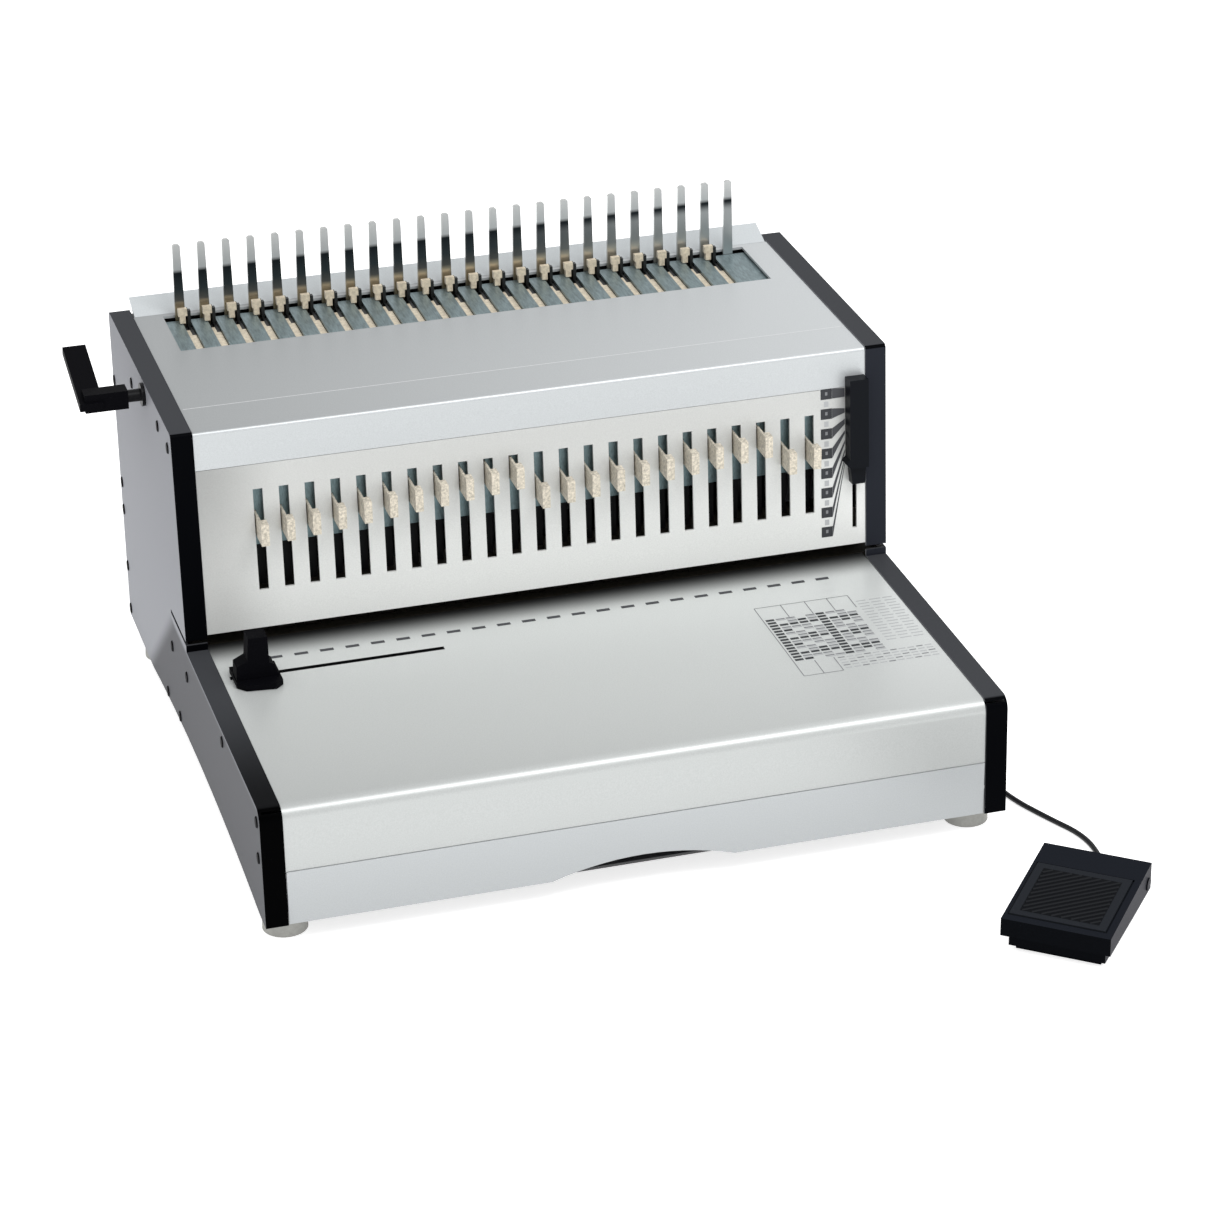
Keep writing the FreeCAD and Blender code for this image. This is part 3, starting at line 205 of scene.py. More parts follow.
def within(made, x, y, axis, reach, middle):
    """1 inside a band across the pedal, measured along one of its axes from its middle."""
    start = middle + axis[0] * PEDAL_PLACE[0] + axis[1] * PEDAL_PLACE[1]
    along = math_node(made, "MULTIPLY_ADD", x, axis[0], times(made, y, axis[1]))
    away = math_node(made, "ABSOLUTE", math_node(made, "SUBTRACT", along, start))
    return math_node(made, "LESS_THAN", away, reach)


def mix_in(made, mask, color):
    """Paint another colour over the base colour where mask is 1."""
    mix = add(made, "ShaderNodeMix", data_type="RGBA")
    under = base_source(made)
    for socket, value in ((mix.inputs[6], under), (mix.inputs[7], color)):
        if isinstance(value, (tuple, list)):
            socket.default_value = value if len(value) == 4 else (*value, 1)
        else:
            made.node_tree.links.new(value, socket)
    made.node_tree.links.new(mask, mix.inputs[0])
    made.node_tree.links.new(mix.outputs[2], base_inlet(made))
    return made


def tone(made, factor):
    """Darken or lighten the base colour by a factor socket."""
    scaled = add(made, "ShaderNodeVectorMath", operation="SCALE")
    under = base_source(made)
    if isinstance(under, tuple):
        scaled.inputs[0].default_value = under[:3]
    else:
        made.node_tree.links.new(under, scaled.inputs[0])
    made.node_tree.links.new(factor, scaled.inputs["Scale"])
    made.node_tree.links.new(scaled.outputs[0], base_inlet(made))
    return made


def stops(made, value, marks):
    """A colour ramp over a 0-1 socket; marks are (position, colour)."""
    item = add(made, "ShaderNodeValToRGB")
    ramp = item.color_ramp
    while len(ramp.elements) < len(marks):
        ramp.elements.new(0.5)
    for element, (position, color) in zip(ramp.elements, marks):
        element.position = position
        element.color = (*color, 1)
    made.node_tree.links.new(value, item.inputs["Fac"])
    return item.outputs["Color"]


# ------------------------------------------------------------------ painted coats, with painted shade, highlights and reflections
SILVER = (0.470, 0.491, 0.501)
PLATE = (0.69, 0.70, 0.685)
FENCE = (0.52, 0.55, 0.565)
DECK = (0.474, 0.491, 0.486)
POWDER = {"spread": 0.06, "scale": 1500, "bump": 0.02}

# Where a coat's painted shade, highlight or reflection changes: the place along one axis where the change
# starts, and where it is complete.
FRONT_SHADE_FADE = (8, 66)
THROAT_SHADOW_FADE = (-24, 4)
SLOT_SHADE_FADE = (-130, -120)
PLATE_TOP_SHADE_FADE = (100, 186)
PLATE_LEFT_SHADE_FADE = (-192, -138)
TOWER_REFLECTION_FADE = (77, 82)
SIDE_LIGHT_FADE = (103, 120)
PANEL_FRONT_SHADE_FADE = (-180, -50)
FINGER_SPAN = (207.5, 249.5)
FINGER_BAND_FADE = (228, 234)
FINGER_ROW_FADE = (10, 175)
HOOK_UPRIGHT = (0.20, 0.42)
HOOK_BACK = 152


def silver_coat(name, color, shade, across, along, least, most, front_low=1.0, front_all=1.0):
    """Light powder coat with painted shade. A flat top has the painted shade factor shade + across * x +
    along * y, held between least and most. A front face has the painted shade factor front_all, and 1 -
    front_low less than that at the floor."""
    made = grainy(name, color, 0.25, 0.36, 0.4, spread=0.07, scale=1500, bump=0.02)
    x, y, z = spot(made)
    slope = math_node(made, "MULTIPLY_ADD", y, along, math_node(made, "MULTIPLY_ADD", x, across, shade))
    held = math_node(made, "MINIMUM", either(made, slope, least), most)
    # painted shade on the flat top, by place across and along it
    top = times(made, math_node(made, "SUBTRACT", held, 1.0), facing(made, UP, 0.55, 0.95))
    # painted shade on the front faces, deeper towards the floor
    rise = ramp_between(made, z, *FRONT_SHADE_FADE)
    fall = plus(made, times(made, inverse(made, rise), front_low - 1.0), front_all - 1.0)
    front = times(made, fall, facing(made, FRONT, 0.5, 0.95))
    return tone(made, plus(made, plus(made, top, 1.0), front))


def deck_coat():
    """The deck's coat, with painted shade across its top, a painted shadow under the throat and painted shade
    inside its slot.
    """
    made = silver_coat("deck_coat", DECK, shade=1.345, across=0.00045, along=0.0023, least=0.78, most=1.32,
                       front_low=0.88, front_all=0.88)
    _, y, _ = spot(made)
    up = facing(made, UP, 0.2, 0.6)
    # painted shadow under the throat
    throat_painted_shadow = times(made, ramp_between(made, y, *THROAT_SHADOW_FADE), -0.97)
    tone(made, plus(made, throat_painted_shadow, 1.0))
    # painted shade: near black on the faces inside the slot that do not look up
    slot_painted_shade = times(made, inverse(made, up), ramp_between(made, y, *SLOT_SHADE_FADE))
    return mix_in(made, slot_painted_shade, (0.006, 0.006, 0.007))


def plate_coat():
    """The front plate's lighter coat, with painted shade that darkens it near the cover and at the left end.
    """
    made = grainy("plate_coat", PLATE, 0.2, 0.4, 0.4, **POWDER)
    x, _, z = spot(made)
    painted_shade_step = -0.28
    # painted shade near the cover and at the left end
    high = times(made, ramp_between(made, z, *PLATE_TOP_SHADE_FADE), painted_shade_step)
    left = times(made, inverse(made, ramp_between(made, x, *PLATE_LEFT_SHADE_FADE)), painted_shade_step)
    return tone(made, plus(made, plus(made, high, left), 1.0))


def case_coat():
    """Black satin coat with painted light: painted reflections make the flat outer side faces lighter and
    greyer, and other faces carry painted light, highlight and shade.
    """
    made = shader("case_coat", (0.0012, 0.0014, 0.002), 0.0, 0.4, 0.01)
    x, y, z = spot(made)
    tower = ramp_between(made, z, *TOWER_REFLECTION_FADE)
    slope = math_node(made, "MULTIPLY_ADD", y, 0.786, z)
    lit = either(made, tower, ramp_between(made, slope, *SIDE_LIGHT_FADE))
    sides = either(made, facing(made, LEFT, 0.9, 0.98), facing(made, RIGHT, 0.9, 0.98))

    # Painted light on the black coat: a lighter tone on faces looking up, a highlight on the tower's right
    # front faces, and reflections on the side faces, dim below and graded from foot to head where the light
    # reaches.
    top_painted_light = (0.044, 0.046, 0.051)
    right_painted_highlight = (0.018, 0.020, 0.026)
    side_dim_reflection = (0.092, 0.094, 0.102)
    side_reflection_foot = (0.295, 0.302, 0.325)
    side_reflection_head = (0.212, 0.217, 0.236)

    # painted light on the faces that look up
    mix_in(made, facing(made, UP, 0.9, 0.99), top_painted_light)
    # painted shade on the left half, deepest at the front
    front_left_painted_shade = times(made, times(made, math_node(made, "LESS_THAN", x, 0), -0.85),
                       inverse(made, ramp_between(made, y, *PANEL_FRONT_SHADE_FADE)))
    tone(made, plus(made, front_left_painted_shade, 1.0))
    # painted highlight on the tower's right front faces
    right = times(made, math_node(made, "GREATER_THAN", x, 0), tower)
    mix_in(made, times(made, facing(made, FRONT, 0.9, 0.98), right), right_painted_highlight)
    # painted reflections on the outer side faces
    mix_in(made, sides, side_dim_reflection)
    height = math_node(made, "DIVIDE", z, CASE_TOP)
    return mix_in(made, times(made, sides, lit),
                  stops(made, height, ((0.15, side_reflection_foot), (0.97, side_reflection_head))))


def finger_coat():
    """Bright plated steel with a painted reflection by height: a light tip, then a dark band that stands for
    the dark side of a room mirrored, then a warm foot; the band pales towards the right end of the row."""
    made = shader("finger_plating", (0.6, 0.6, 0.6), 0.85, 0.28)
    x, _, z = spot(made)
    level = math_node(made, "MULTIPLY_ADD", x, -0.016, z)
    color = stops(made, ramp_between(made, level, *FINGER_SPAN, "LINEAR"), (
        (0.0, (0.30, 0.25, 0.17)), (0.15, (0.50, 0.43, 0.31)), (0.24, (0.10, 0.10, 0.095)),
        (0.4, (0.035, 0.047, 0.052)), (0.64, (0.008, 0.012, 0.015)), (0.69, (0.50, 0.52, 0.52)),
        (1.0, (0.60, 0.61, 0.60))))
    made.node_tree.links.new(color, base_inlet(made))
    below = inverse(made, ramp_between(made, level, *FINGER_BAND_FADE))
    return mix_in(made, times(made, below, ramp_between(made, x, *FINGER_ROW_FADE)), (0.42, 0.44, 0.44))


def hook_coat():
    """Warm nickel plating; the upright beside each claw carries a painted dark reflection."""
    made = grainy("hook_plating", (0.66, 0.58, 0.45), 0.3, 0.4, spread=0.22, scale=500, bump=0.08)
    x, y, _ = spot(made)
    cell = math_node(made, "FRACT", plus(made, math_node(made, "DIVIDE", x, PIN_PITCH), 0.5))
    # painted dark reflection on the upright beside each claw
    beside = times(made, math_node(made, "GREATER_THAN", cell, HOOK_UPRIGHT[0]),
                   math_node(made, "LESS_THAN", cell, HOOK_UPRIGHT[1]))
    behind = math_node(made, "GREATER_THAN", y, HOOK_BACK)
    return mix_in(made, times(made, beside, behind), (0.012, 0.013, 0.013))


def pedal_paint():
    """The pedal's black paint, with painted light making it paler on top and a painted reflection on its
    right side.
    """
    color = (0.0022, 0.0026, 0.0036)
    made = grainy("pedal_coat", color, 0, 0.4, 0.01, spread=0.25, scale=1500, bump=0.05)
    # painted light on the faces that look up
    mix_in(made, facing(made, UP, 0.9, 0.98), [4 * c for c in color])
    # painted reflection on the right side
    return mix_in(made, facing(made, PEDAL_ACROSS, 0.9, 0.98), (0.034, 0.034, 0.040))


def pad_coat():
    """The pedal's rubber pad, with a paler rim round its ribbed field."""
    made = shader("pad_rubber", (0.0075, 0.0085, 0.0105), 0, 0.5, 0.02)
    x, y, _ = spot(made)
    inner = times(made, *[within(made, x, y, axis, half + FIELD_MARGIN, middle) for axis, half, middle
                          in zip((PEDAL_ACROSS, PEDAL_ALONG), FIELD_HALF, FIELD_MIDDLE)])
    rim = times(made, inverse(made, inner), 1.3)
    return tone(made, plus(made, rim, 0.6))


# The top cover's coat: painted shade darkens its top towards the left.
silver = silver_coat("silver_coat", SILVER, shade=0.83, across=0.00108, along=0.0, least=0.55, most=1.1)
deck = deck_coat()
# The drawer's coat: painted shade on its front, deeper towards the floor.
drawer = silver_coat("drawer_coat", SILVER, shade=1.0, across=0.0, along=0.0, least=0.9, most=1.0,
                     front_low=0.90, front_all=0.84)
fence_coat = grainy("fence_coat", FENCE, 0.2, 0.4, 0.4, **POWDER)
plate = plate_coat()
case = case_coat()
pedal_coat = pedal_paint()
chassis = shader("chassis_coat", (0.02, 0.02, 0.022), 0.0, 0.5)
primer = shader("primer", (0.10, 0.105, 0.11), 0.1, 0.55)

# ------------------------------------------------------------------ metals
fingers = finger_coat()
hooks = hook_coat()
zinc = grainy("zinc", (0.19, 0.25, 0.265), 0.7, 0.38, spread=0.3, scale=160, bump=0.05, stretch=(6, 1, 1))
bar_steel = grainy("bar_steel", (0.17, 0.235, 0.25), 0.7, 0.42, spread=0.3, scale=300, bump=0.05,
                   stretch=(8, 1, 1))
guide_steel = grainy("guide_steel", (0.030, 0.026, 0.020), 0.3, 0.45, spread=0.3, scale=300, bump=0.05)
dark_steel = grainy("dark_steel", (0.006, 0.006, 0.007), 0, 0.4, 0.1, spread=0.3, scale=300, bump=0.05)
nickel = grainy("nickel", (0.58, 0.53, 0.44), 0.3, 0.4, spread=0.4, scale=650, bump=0.3)
oiled = shader("oiled_steel", (0.012, 0.012, 0.013), 0.3, 0.45, 0.2)

# ------------------------------------------------------------------ plastics, rubbers and inks
black = grainy("black_moulding", (0.0025, 0.0025, 0.0035), 0, 0.5, 0.02, spread=0.3, scale=1200, bump=0.05)
gloss = shader("gloss_moulding", (0.0045, 0.0055, 0.0075), 0, 0.3, 0.05)
foot = grainy("foot_rubber", (0.30, 0.30, 0.28), 0, 0.6, spread=0.1, scale=500, bump=0.05)
rubber = grainy("black_rubber", (0.006, 0.0065, 0.008), 0, 0.5, 0.25, spread=0.2, scale=900, bump=0.05)
pad_rubber = pad_coat()
rib_rubber = shader("rib_rubber", (0.0085, 0.0095, 0.0115), 0, 0.5, 0.05)
board = grainy("board_green", (0.02, 0.11, 0.05), 0, 0.4, spread=0.2, scale=300, bump=0.02)
ink = shader("print_ink", (0.035, 0.037, 0.041), 0, 0.5, 0.2)
grey_ink = shader("print_grey_ink", (0.20, 0.205, 0.215), 0, 0.5, 0.2)
faint_ink = shader("print_faint_ink", (0.40, 0.41, 0.42), 0, 0.5, 0.2)
# A painted highlight for the top cover's crease.
crease_highlight = shader("crease_painted_highlight", (0.62, 0.63, 0.64), 0, 0.5, 0.2)
dash_ink = shader("print_dash_ink", (0.07, 0.072, 0.078), 0, 0.5, 0.1)

# ------------------------------------------------------------------ which coat each CAD node has
SLOT_COATS = {
    "case_black": case, "cover_light": silver, "drawer_light": drawer, "chassis_steel": chassis,
    "foot_rubber": foot, "slit_steel": zinc, "finger_steel": fingers, "hook_steel": hooks,
    "frame_steel": primer, "ground_steel": bar_steel, "motor_can": chassis, "lever_black": black,
    "shaft_black": dark_steel, "guide_black": black, "knob_black": gloss, "board_green": board,
    "inlet_black": black, "rocker_black": gloss, "pedal_black": pedal_coat, "pedal_floor": pedal_coat,
    "pad_rubber": pad_rubber, "cord_black": rubber, "tab_nickel": nickel,
}
NODE_COATS = {
    "front_plate": plate, "deck_cover": deck, "rear_fence": fence_coat, "punch_bar": bar_steel,
    "punch_pins": oiled, "punch_guide": guide_steel, "die_plate": guide_steel, "rake_frame": oiled,
    "shaft_bearings": dark_steel,
}
for part in frame["record"]["subparts"]:
    shown = nodes[part["node"]]
    shown.data.materials.clear()
    shown.data.materials.append(NODE_COATS.get(part["node"], SLOT_COATS[part["material_slot"]]))


def soften(name, width):
    """A small rounding of a part's sharp edges, in the picture only; the width is in millimetres."""
    bevel = nodes[name].modifiers.new("edge", "BEVEL")
    bevel.width = width / MM
    bevel.segments = 2
    bevel.limit_method = "ANGLE"
    bevel.angle_limit = math.radians(40)


# ------------------------------------------------------------------ making pieces
def mesh_piece(name, corners, faces, coat, body="machine"):
    """A mesh of its own that rides on a body."""
    mesh = bpy.data.meshes.new(name)
    mesh.from_pydata([tuple(c) for c in corners], [], faces)
    mesh.update()
    item = bpy.data.objects.new(name, mesh)
    bpy.context.scene.collection.objects.link(item)
    mesh.materials.append(coat)
    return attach(item, body)


def patches(name, quads, coat):
    """Flat marks on the machine: each is four corners, joined into one piece."""
    corners = [c for quad in quads for c in quad]
    faces = [tuple(range(4 * k, 4 * k + 4)) for k in range(len(quads))]
    return mesh_piece(name, corners, faces, coat)


# ------------------------------------------------------------------ prints on the deck
DECK_PRINT = 79.46
LINE_HALF = 0.25
TABLE_LEFT, TABLE_RIGHT = 108.6, 163.4
TABLE_HEAD, TABLE_TOP, TABLE_NOTES, TABLE_FOOT = -45.5, -61, -115, -131
NOTES_RIGHT = 131
ROW_STEP, CELL_STEP, SIDE_STEP = 3.55, 5.8, 7.8
NOTE_ROW_STEP, NOTE_STEP = 3.1, 5


def deck_patch(x0, x1, y0, y1):
    """A mark that lies on the deck."""
    return [at(x0, y0, DECK_PRINT), at(x1, y0, DECK_PRINT), at(x1, y1, DECK_PRINT), at(x0, y1, DECK_PRINT)]


def raised(quads, height):
    """The same marks, lifted by a height in millimetres so that none lies in another."""
    return [[corner + Vector((0, 0, height / MM)) for corner in quad] for quad in quads]


def punch_dashes():
    """A dash in front of each punch column."""
    half = 3.8
    middles = [PIN_PITCH * (k - COLUMNS // 2) for k in range(COLUMNS)]
    patches("print_dashes", [deck_patch(x - half, x + half, -22.3, -19.4) for x in middles], dash_ink)


def table_rows(dark, middle, pale):
    """Rows of blocks in the place of words: bold, plain and faint ones, and three columns beside them."""
    for row in range(15):
        y = TABLE_TOP - row * ROW_STEP
        for cell in range(9):
            x = 110 + cell * CELL_STEP
            kind = (row * 5 + cell * 3 + row * cell) % 5
            if kind == 0 or (cell in (1, 3, 7) and kind == 2):
                dark.append(deck_patch(x, x + 4.8, y - 2.2, y))
            elif kind < 4:
                middle.append(deck_patch(x, x + 5.2, y - 1.5, y - 0.3))
                pale.append(deck_patch(x, x + 5.4, y - 2.8, y - 1.9))
        for cell in range(3):
            x = 165.5 + cell * SIDE_STEP
            width = 5.6 + (row + cell) % 2
            pale.append(deck_patch(x, x + width, y + 6.5, y + 7.4))


def note_rows(middle, pale):
    """Five short rows of marks under the table."""
    for row in range(5):
        y = TABLE_NOTES - 1 - row * NOTE_ROW_STEP
        for cell in range(11):
            x = 133 + cell * NOTE_STEP
            marks = middle if (row + cell) % 3 == 0 else pale
            marks.append(deck_patch(x, x + 3.8, y - 0.6, y + 0.4))


def table_lines():
    """The table's upright and level lines."""
    uprights = [(x, TABLE_TOP, TABLE_HEAD) for x in (TABLE_LEFT, 124, 138, 151, TABLE_RIGHT)]
    uprights += [(TABLE_LEFT, TABLE_FOOT, TABLE_TOP)]
    uprights += [(x, TABLE_FOOT, TABLE_NOTES) for x in (120, NOTES_RIGHT)]
    levels = ((TABLE_HEAD, TABLE_RIGHT), (TABLE_FOOT, NOTES_RIGHT))
    lines = [deck_patch(x - LINE_HALF, x + LINE_HALF, low, high) for x, low, high in uprights]
    return lines + [deck_patch(TABLE_LEFT, end, y - LINE_HALF, y + LINE_HALF) for y, end in levels]


def deck_table():
    """A generic table at the deck's right."""
    dark, middle, pale = [], [], []
    table_rows(dark, middle, pale)
    note_rows(middle, pale)
    middle += table_lines()
    patches("print_table_dark", raised(dark, 0.03), ink)
    patches("print_table_grey", raised(middle, 0.02), grey_ink)
    patches("print_table_pale", pale, faint_ink)


# ------------------------------------------------------------------ the scale beside the knob
PLATE_FOOT = -6.3
PLATE_LEAN = 0.056
PRINT_GAP = 0.5
SCALE_TOP = 180.7
SCALE_STEP = 11.83
SCALE_ENDS = ((180.4, 2.6), (169.7, 1.3), (163.2, 1.6), (156.9, 1.0), (151.0, 1.0), (145.8, 0.9),
              (141.9, 0.7), (138.5, 0.7))


def plate_point(x, z):
    """A point just in front of the leaning front plate."""
    return at(x, PLATE_FOOT + PLATE_LEAN * z + PRINT_GAP, z)


def plate_patch(x0, x1, z0, z1):
    """A mark that lies on the front plate."""
    return [plate_point(x0, z0), plate_point(x1, z0), plate_point(x1, z1), plate_point(x0, z1)]


def numeral(square):
    """A small upright block in the middle of a square, 0.04 mm in front of it."""
    middle = square[0] + (square[2] - square[0]) / 2
    half_width, half_height = 0.0007, 0.0013
    signs = ((-1, -1), (1, -1), (1, 1), (-1, 1))
    return [middle + Vector((u * half_width, -0.00004, v * half_height)) for u, v in signs]


def scale_prints():
    """Eight dark squares with lighter marks between, and bands that fan out to the knob. Each band
    starts about as wide as its square and ends at its own height, given with half its width there."""
    squares, bands, pale = [], [], []
    start, stop = 170.7, 178.2
    for index, (end, half) in enumerate(SCALE_ENDS):
        z = SCALE_TOP - index * SCALE_STEP
        squares.append(plate_patch(164, 170.6, z - 3.1, z + 3.1))
        bands.append([plate_point(start, z - 3.0), plate_point(stop, end - half),
                      plate_point(stop, end + half), plate_point(start, z + 3.0)])
        if index < len(SCALE_ENDS) - 1:
            pale.append(plate_patch(166, 168.6, z - 7.6, z - 4.4))
    patches("print_scale", squares, ink)
    patches("print_scale_bands", bands, dash_ink)
    patches("print_scale_marks", pale, faint_ink)
    patches("print_scale_numerals", [numeral(square) for square in squares], grey_ink)


# ------------------------------------------------------------------ small pieces of the casing
COVER_PRINT = 205.45
SIDE_FACE = 202.48
RIGHT_PLUG_TOP = 190
PLUG_HALF = (2.7, 3.4)
PLUG_PLACES = ((123.7, 188.7), (43.3, 195.9), (15, 194.8), (186.4, 165.2), (185.5, 101.2), (186.1, 83.5),
               (186.5, 46.7), (186.5, 18.8), (44, 62), (1.8, 63.2), (69.1, 21.3), (32.9, 23.4), (-96.7, 73.2),
               (-183, 71.2), (-182.6, 50))


def crease():
    """A faint painted highlight along the line of the top cover's stiffening bend."""
    end, near, far = 189, 38.8, 39.4
    patches("cover_crease", [[at(-end, near, COVER_PRINT), at(end, near, COVER_PRINT),
                              at(end, far, COVER_PRINT), at(-end, far, COVER_PRINT)]], crease_highlight)


def plug(side, y, z, first):
    """One plug's corners and faces: an oval with a bevelled edge; its corners count from first."""
    steps = 20
    corners, faces = [], []
    for lift, share in ((0.0, 1.0), (0.7, 0.86)):
        for k in range(steps):
            turn = 2 * math.pi * k / steps
            corners.append(at(side * (SIDE_FACE + lift), y + PLUG_HALF[0] * share * math.cos(turn),
                              z + PLUG_HALF[1] * share * math.sin(turn)))
    for k in range(steps):
        n = (k + 1) % steps
        faces.append((first + k, first + n, first + steps + n, first + steps + k))
    faces.append(tuple(first + steps + k for k in range(steps)))
    return corners, faces


def side_plugs():
    """Oval black plugs over the fixing holes of both side panels; the right one has none at its top."""
    for side, tag in ((-1, "left"), (1, "right")):
        corners, faces = [], []
        for y, z in PLUG_PLACES:
            if side > 0 and z > RIGHT_PLUG_TOP:
                continue
            more_corners, more_faces = plug(side, y, z, len(corners))
            corners += more_corners
            faces += more_faces
        item = mesh_piece(f"side_plugs_{tag}", corners, faces, black)


# ------------------------------------------------------------------ the pedal's ribs and its cord
RIB_SLANT = 0.9
RIB_PITCH = 3.2
RIB_HALF = 0.8
RIB_HEIGHT = 0.5
RIB_ROOT = -0.1
SHORTEST_RIB = 2
PAD_FRONT_TOP = 20.4
PAD_RISE = 5
PAD_LENGTH = 74

CORD_DIAMETER = 3
CORD_REST = 1.8
COIL_MIDDLE = (118, 262)
COIL_START = math.radians(-4.8)
COIL_TURNS = 8.76
COIL_STEPS = 16
COIL_SLOTS = ((23.6, 14.2), (23.6, 11.1), (20.4, 11.1), (20.4, 8), (23.6, 8), (23.6, 4.9), (20.4, 4.9),
              (20.4, 1.8), (23.6, 1.8))


def pad_point(u, v, lift):
    """A point over the sloping pad, across and along the pedal from its middle."""
    top = PAD_FRONT_TOP + (v + PAD_LENGTH / 2) * PAD_RISE / PAD_LENGTH
    return at(*PEDAL_PLACE, top + lift) + (Vector(PEDAL_ACROSS) * u + Vector(PEDAL_ALONG) * v) / MM


def pad_ribs():
    """Slanting ribs on the pedal's pad, cut off at the edges of their field."""
    step = (math.cos(RIB_SLANT), -math.sin(RIB_SLANT))
    run = (math.sin(RIB_SLANT), math.cos(RIB_SLANT))
    field = [(middle - half, middle + half) for middle, half in zip(FIELD_MIDDLE, FIELD_HALF)]
    corners, faces = [], []
    for k in range(-14, 15):
        start, end = -99.0, 99.0
        middle = [RIB_PITCH * k * step[axis] + FIELD_MIDDLE[axis] for axis in (0, 1)]
        for value, slope, (low, high) in zip(middle, run, field):
            start, end = max(start, (low - value) / slope), min(end, (high - value) / slope)
        if end - start < SHORTEST_RIB:
            continue
        first = len(corners)
        for t in (start, end):
            u, v = middle[0] + t * run[0], middle[1] + t * run[1]
            corners += [pad_point(u - RIB_HALF * step[0], v - RIB_HALF * step[1], RIB_ROOT),
                        pad_point(u, v, RIB_HEIGHT),
                        pad_point(u + RIB_HALF * step[0], v + RIB_HALF * step[1], RIB_ROOT)]
        a, b, c, d, e, f = range(first, first + 6)
        faces += [(a, b, c), (d, f, e), (a, d, e, b), (b, e, f, c), (c, f, d, a)]
    item = mesh_piece("pad_ribs", corners, faces, rib_rubber, "tread")


def coil_points():
    """The spare cord, wound in two columns of turns from the top down to the floor. A turn keeps its
    radius and height for three quarters, then passes smoothly to the next turn's."""
    points = []
    for k in range(int(COIL_TURNS * COIL_STEPS) + 1):
        t = k / COIL_STEPS
        index = min(int(t), len(COIL_SLOTS) - 1)
        radius, height = COIL_SLOTS[index]
        after = COIL_SLOTS[min(index + 1, len(COIL_SLOTS) - 1)]
        share = max(0.0, (t - index - 0.75) / 0.25)
        share = share * share * (3 - 2 * share)
        radius += (after[0] - radius) * share
        height += (after[1] - height) * share
        angle = COIL_START + 2 * math.pi * t
        points.append(at(COIL_MIDDLE[0] + radius * math.cos(angle), COIL_MIDDLE[1] + radius * math.sin(angle),
                         height))
    return points


def pedal_lead():
    """The pedal's cord: out of the gland, round its coil, along the machine and into the pedal."""
    low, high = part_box("cord_gland")
    exit_point = Vector(((low.x + high.x) / 2, high.y, (low.z + high.z) / 2))
    route = [exit_point, at(150, 214, 44.8), at(150, 224, 42.5), at(149, 238, 33), at(145, 250, 19),
             at(142.2, 256, 14.6)]
    route += coil_points()
    route += [at(x, y, CORD_REST) for x, y in (
        (132, 238), (150, 236), (180, 226), (204, 204), (214, 174), (214.5, 138), (211.5, 96), (214, 50),
        (212, 5), (214, -40), (211.5, -85), (212.5, -125), (217.5, -160), (229, -188), (239.5, -210),
        (240, -233))]
    along = Vector(PEDAL_ALONG)
    inlet = at(*PEDAL_PLACE, 2.3) + Vector(PEDAL_ACROSS) * 0.004
    route += [inlet + along * 0.047, inlet + along * 0.0405]
    curve = bpy.data.curves.new("pedal_lead", "CURVE")
    curve.dimensions = "3D"
    line = curve.splines.new("NURBS")
    line.points.add(len(route) - 1)
    for control, place in zip(line.points, route):
        control.co = (*place, 1)
    line.order_u = 3
    line.use_endpoint_u = True
    curve.bevel_depth = CORD_DIAMETER / 2 / MM
    curve.bevel_resolution = 4
    curve.use_fill_caps = True
    curve.materials.append(rubber)
    item = bpy.data.objects.new("pedal_lead", curve)
    bpy.context.scene.collection.objects.link(item)
    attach(item, "machine")
    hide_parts("pedal_cord", "cord_coil")


for name, width in (("size_knob", 0.5), ("edge_guide", 0.5), ("opener_lever", 0.6), ("pedal_tread", 0.9),
                    ("tread_pad", 0.4), ("rubber_feet", 0.6), ("comb_fingers", 0.2)):
    soften(name, width)
for k in range(COLUMNS):
    soften(f"pin_tab_{k + 1:02d}", 0.35)
punch_dashes()
deck_table()
scale_prints()
crease()
side_plugs()
pad_ribs()
pedal_lead()


# ------------------------------------------------------------------ camera and light
YAW, PITCH_DOWN, ROLL = 0.28145, -0.45828, -0.01485
CAMERA_PLACE = (-519.45, -1924.17, 1058.34)
LENS = 117.966
SENSOR = 36


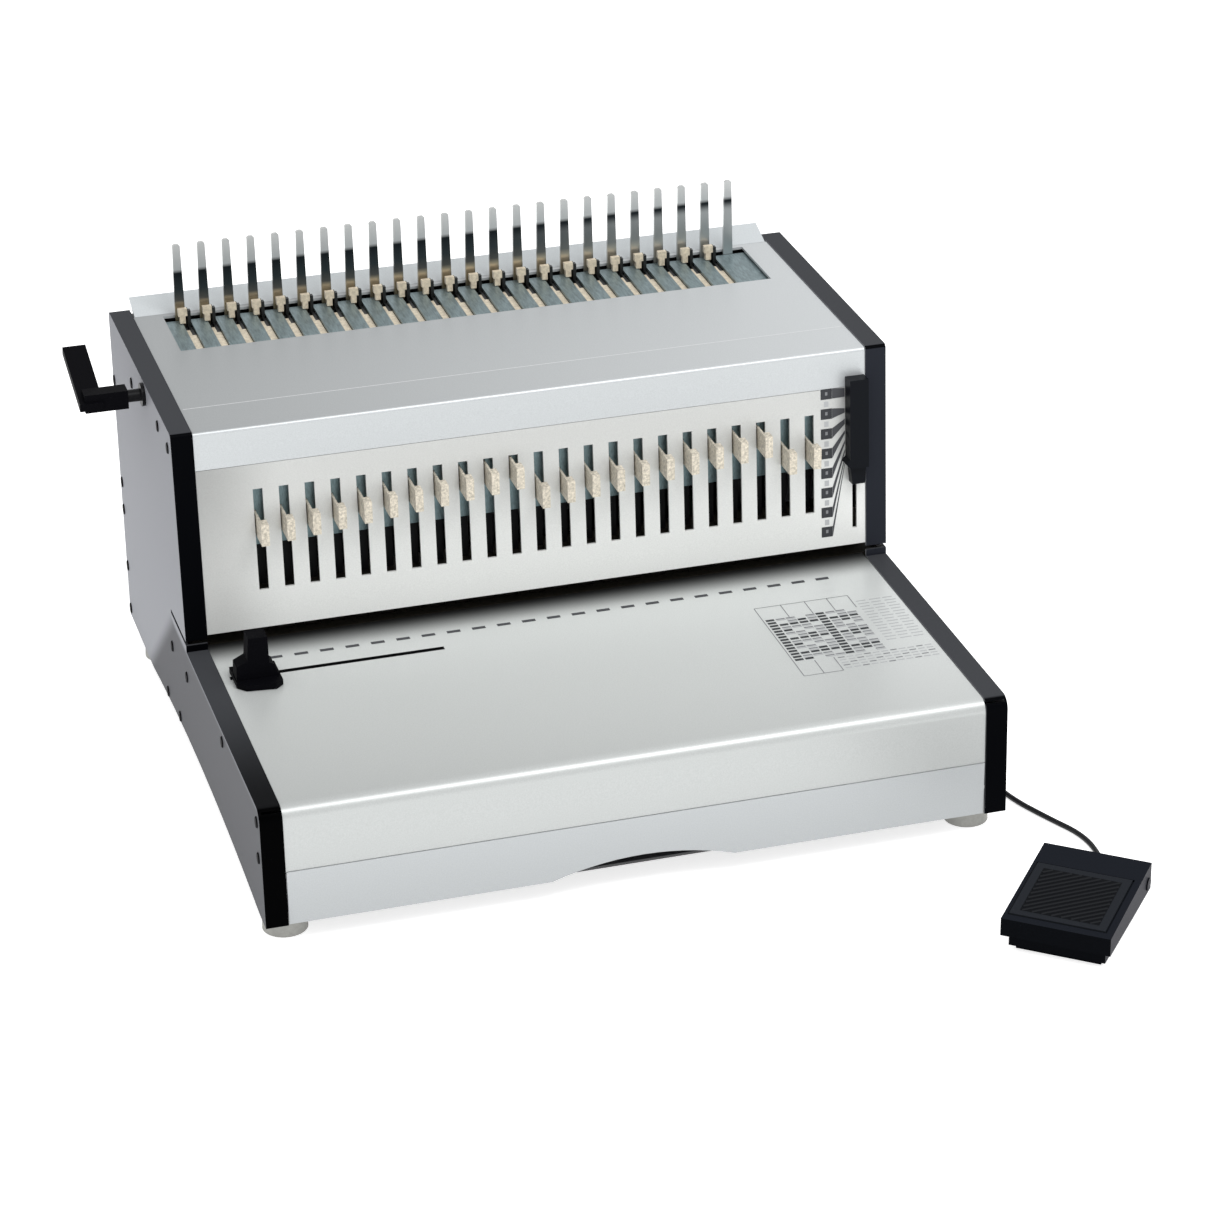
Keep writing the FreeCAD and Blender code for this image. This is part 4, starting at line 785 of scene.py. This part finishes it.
def camera():
    """The camera, aimed by its yaw from +Y, its pitch and its roll, in radians."""
    data = bpy.data.cameras.new("camera")
    item = bpy.data.objects.new("camera", data)
    bpy.context.scene.collection.objects.link(item)
    level = math.cos(PITCH_DOWN)
    forward = Vector((math.sin(YAW) * level, math.cos(YAW) * level, math.sin(PITCH_DOWN)))
    right = Vector((math.cos(YAW), -math.sin(YAW), 0))
    up = right.cross(forward)
    tilted = right * math.cos(ROLL) + up * math.sin(ROLL)
    upright = up * math.cos(ROLL) - right * math.sin(ROLL)
    turn = Matrix((tilted, upright, -forward)).transposed()
    item.matrix_world = Matrix.Translation(at(*CAMERA_PLACE)) @ turn.to_4x4()
    data.sensor_width = SENSOR
    data.lens = LENS
    data.clip_start, data.clip_end = 0.05, 30
    bpy.context.scene.camera = item


def key_light():
    """One soft lamp above and in front of the machine, in metres and watts."""
    place, aim = Vector((0.55, -1.1, 2.1)), Vector((0, 0, 0.1))
    data = bpy.data.lights.new("key", "AREA")
    data.shape = "RECTANGLE"
    data.size, data.size_y = 1.2, 0.8
    data.energy = 30
    item = bpy.data.objects.new("key", data)
    bpy.context.scene.collection.objects.link(item)
    item.location = place
    item.rotation_mode = "QUATERNION"
    item.rotation_quaternion = (aim - place).to_track_quat("-Z", "Y")


def studio():
    """An even white world, a pale floor that glows a little, and the lamp."""
    scene = bpy.context.scene
    world = bpy.data.worlds.new("studio")
    world.use_nodes = True
    world.node_tree.nodes["Background"].inputs["Color"].default_value = (1, 1, 1, 1)
    world.node_tree.nodes["Background"].inputs["Strength"].default_value = 0.92
    scene.world = world
    bpy.ops.mesh.primitive_plane_add(size=12, location=(0, 0, 0))
    floor = bpy.context.object
    floor.name = "floor"
    paper = shader("floor_paper", (0.80, 0.80, 0.80), 0, 0.9, 0.0)
    surface = paper.node_tree.nodes["Principled BSDF"]
    surface.inputs["Emission Color"].default_value = (1, 1, 1, 1)
    surface.inputs["Emission Strength"].default_value = 0.7
    floor.data.materials.append(paper)
    key_light()
    scene.view_settings.view_transform = "Standard"
    scene.view_settings.look = "None"


camera()
studio()
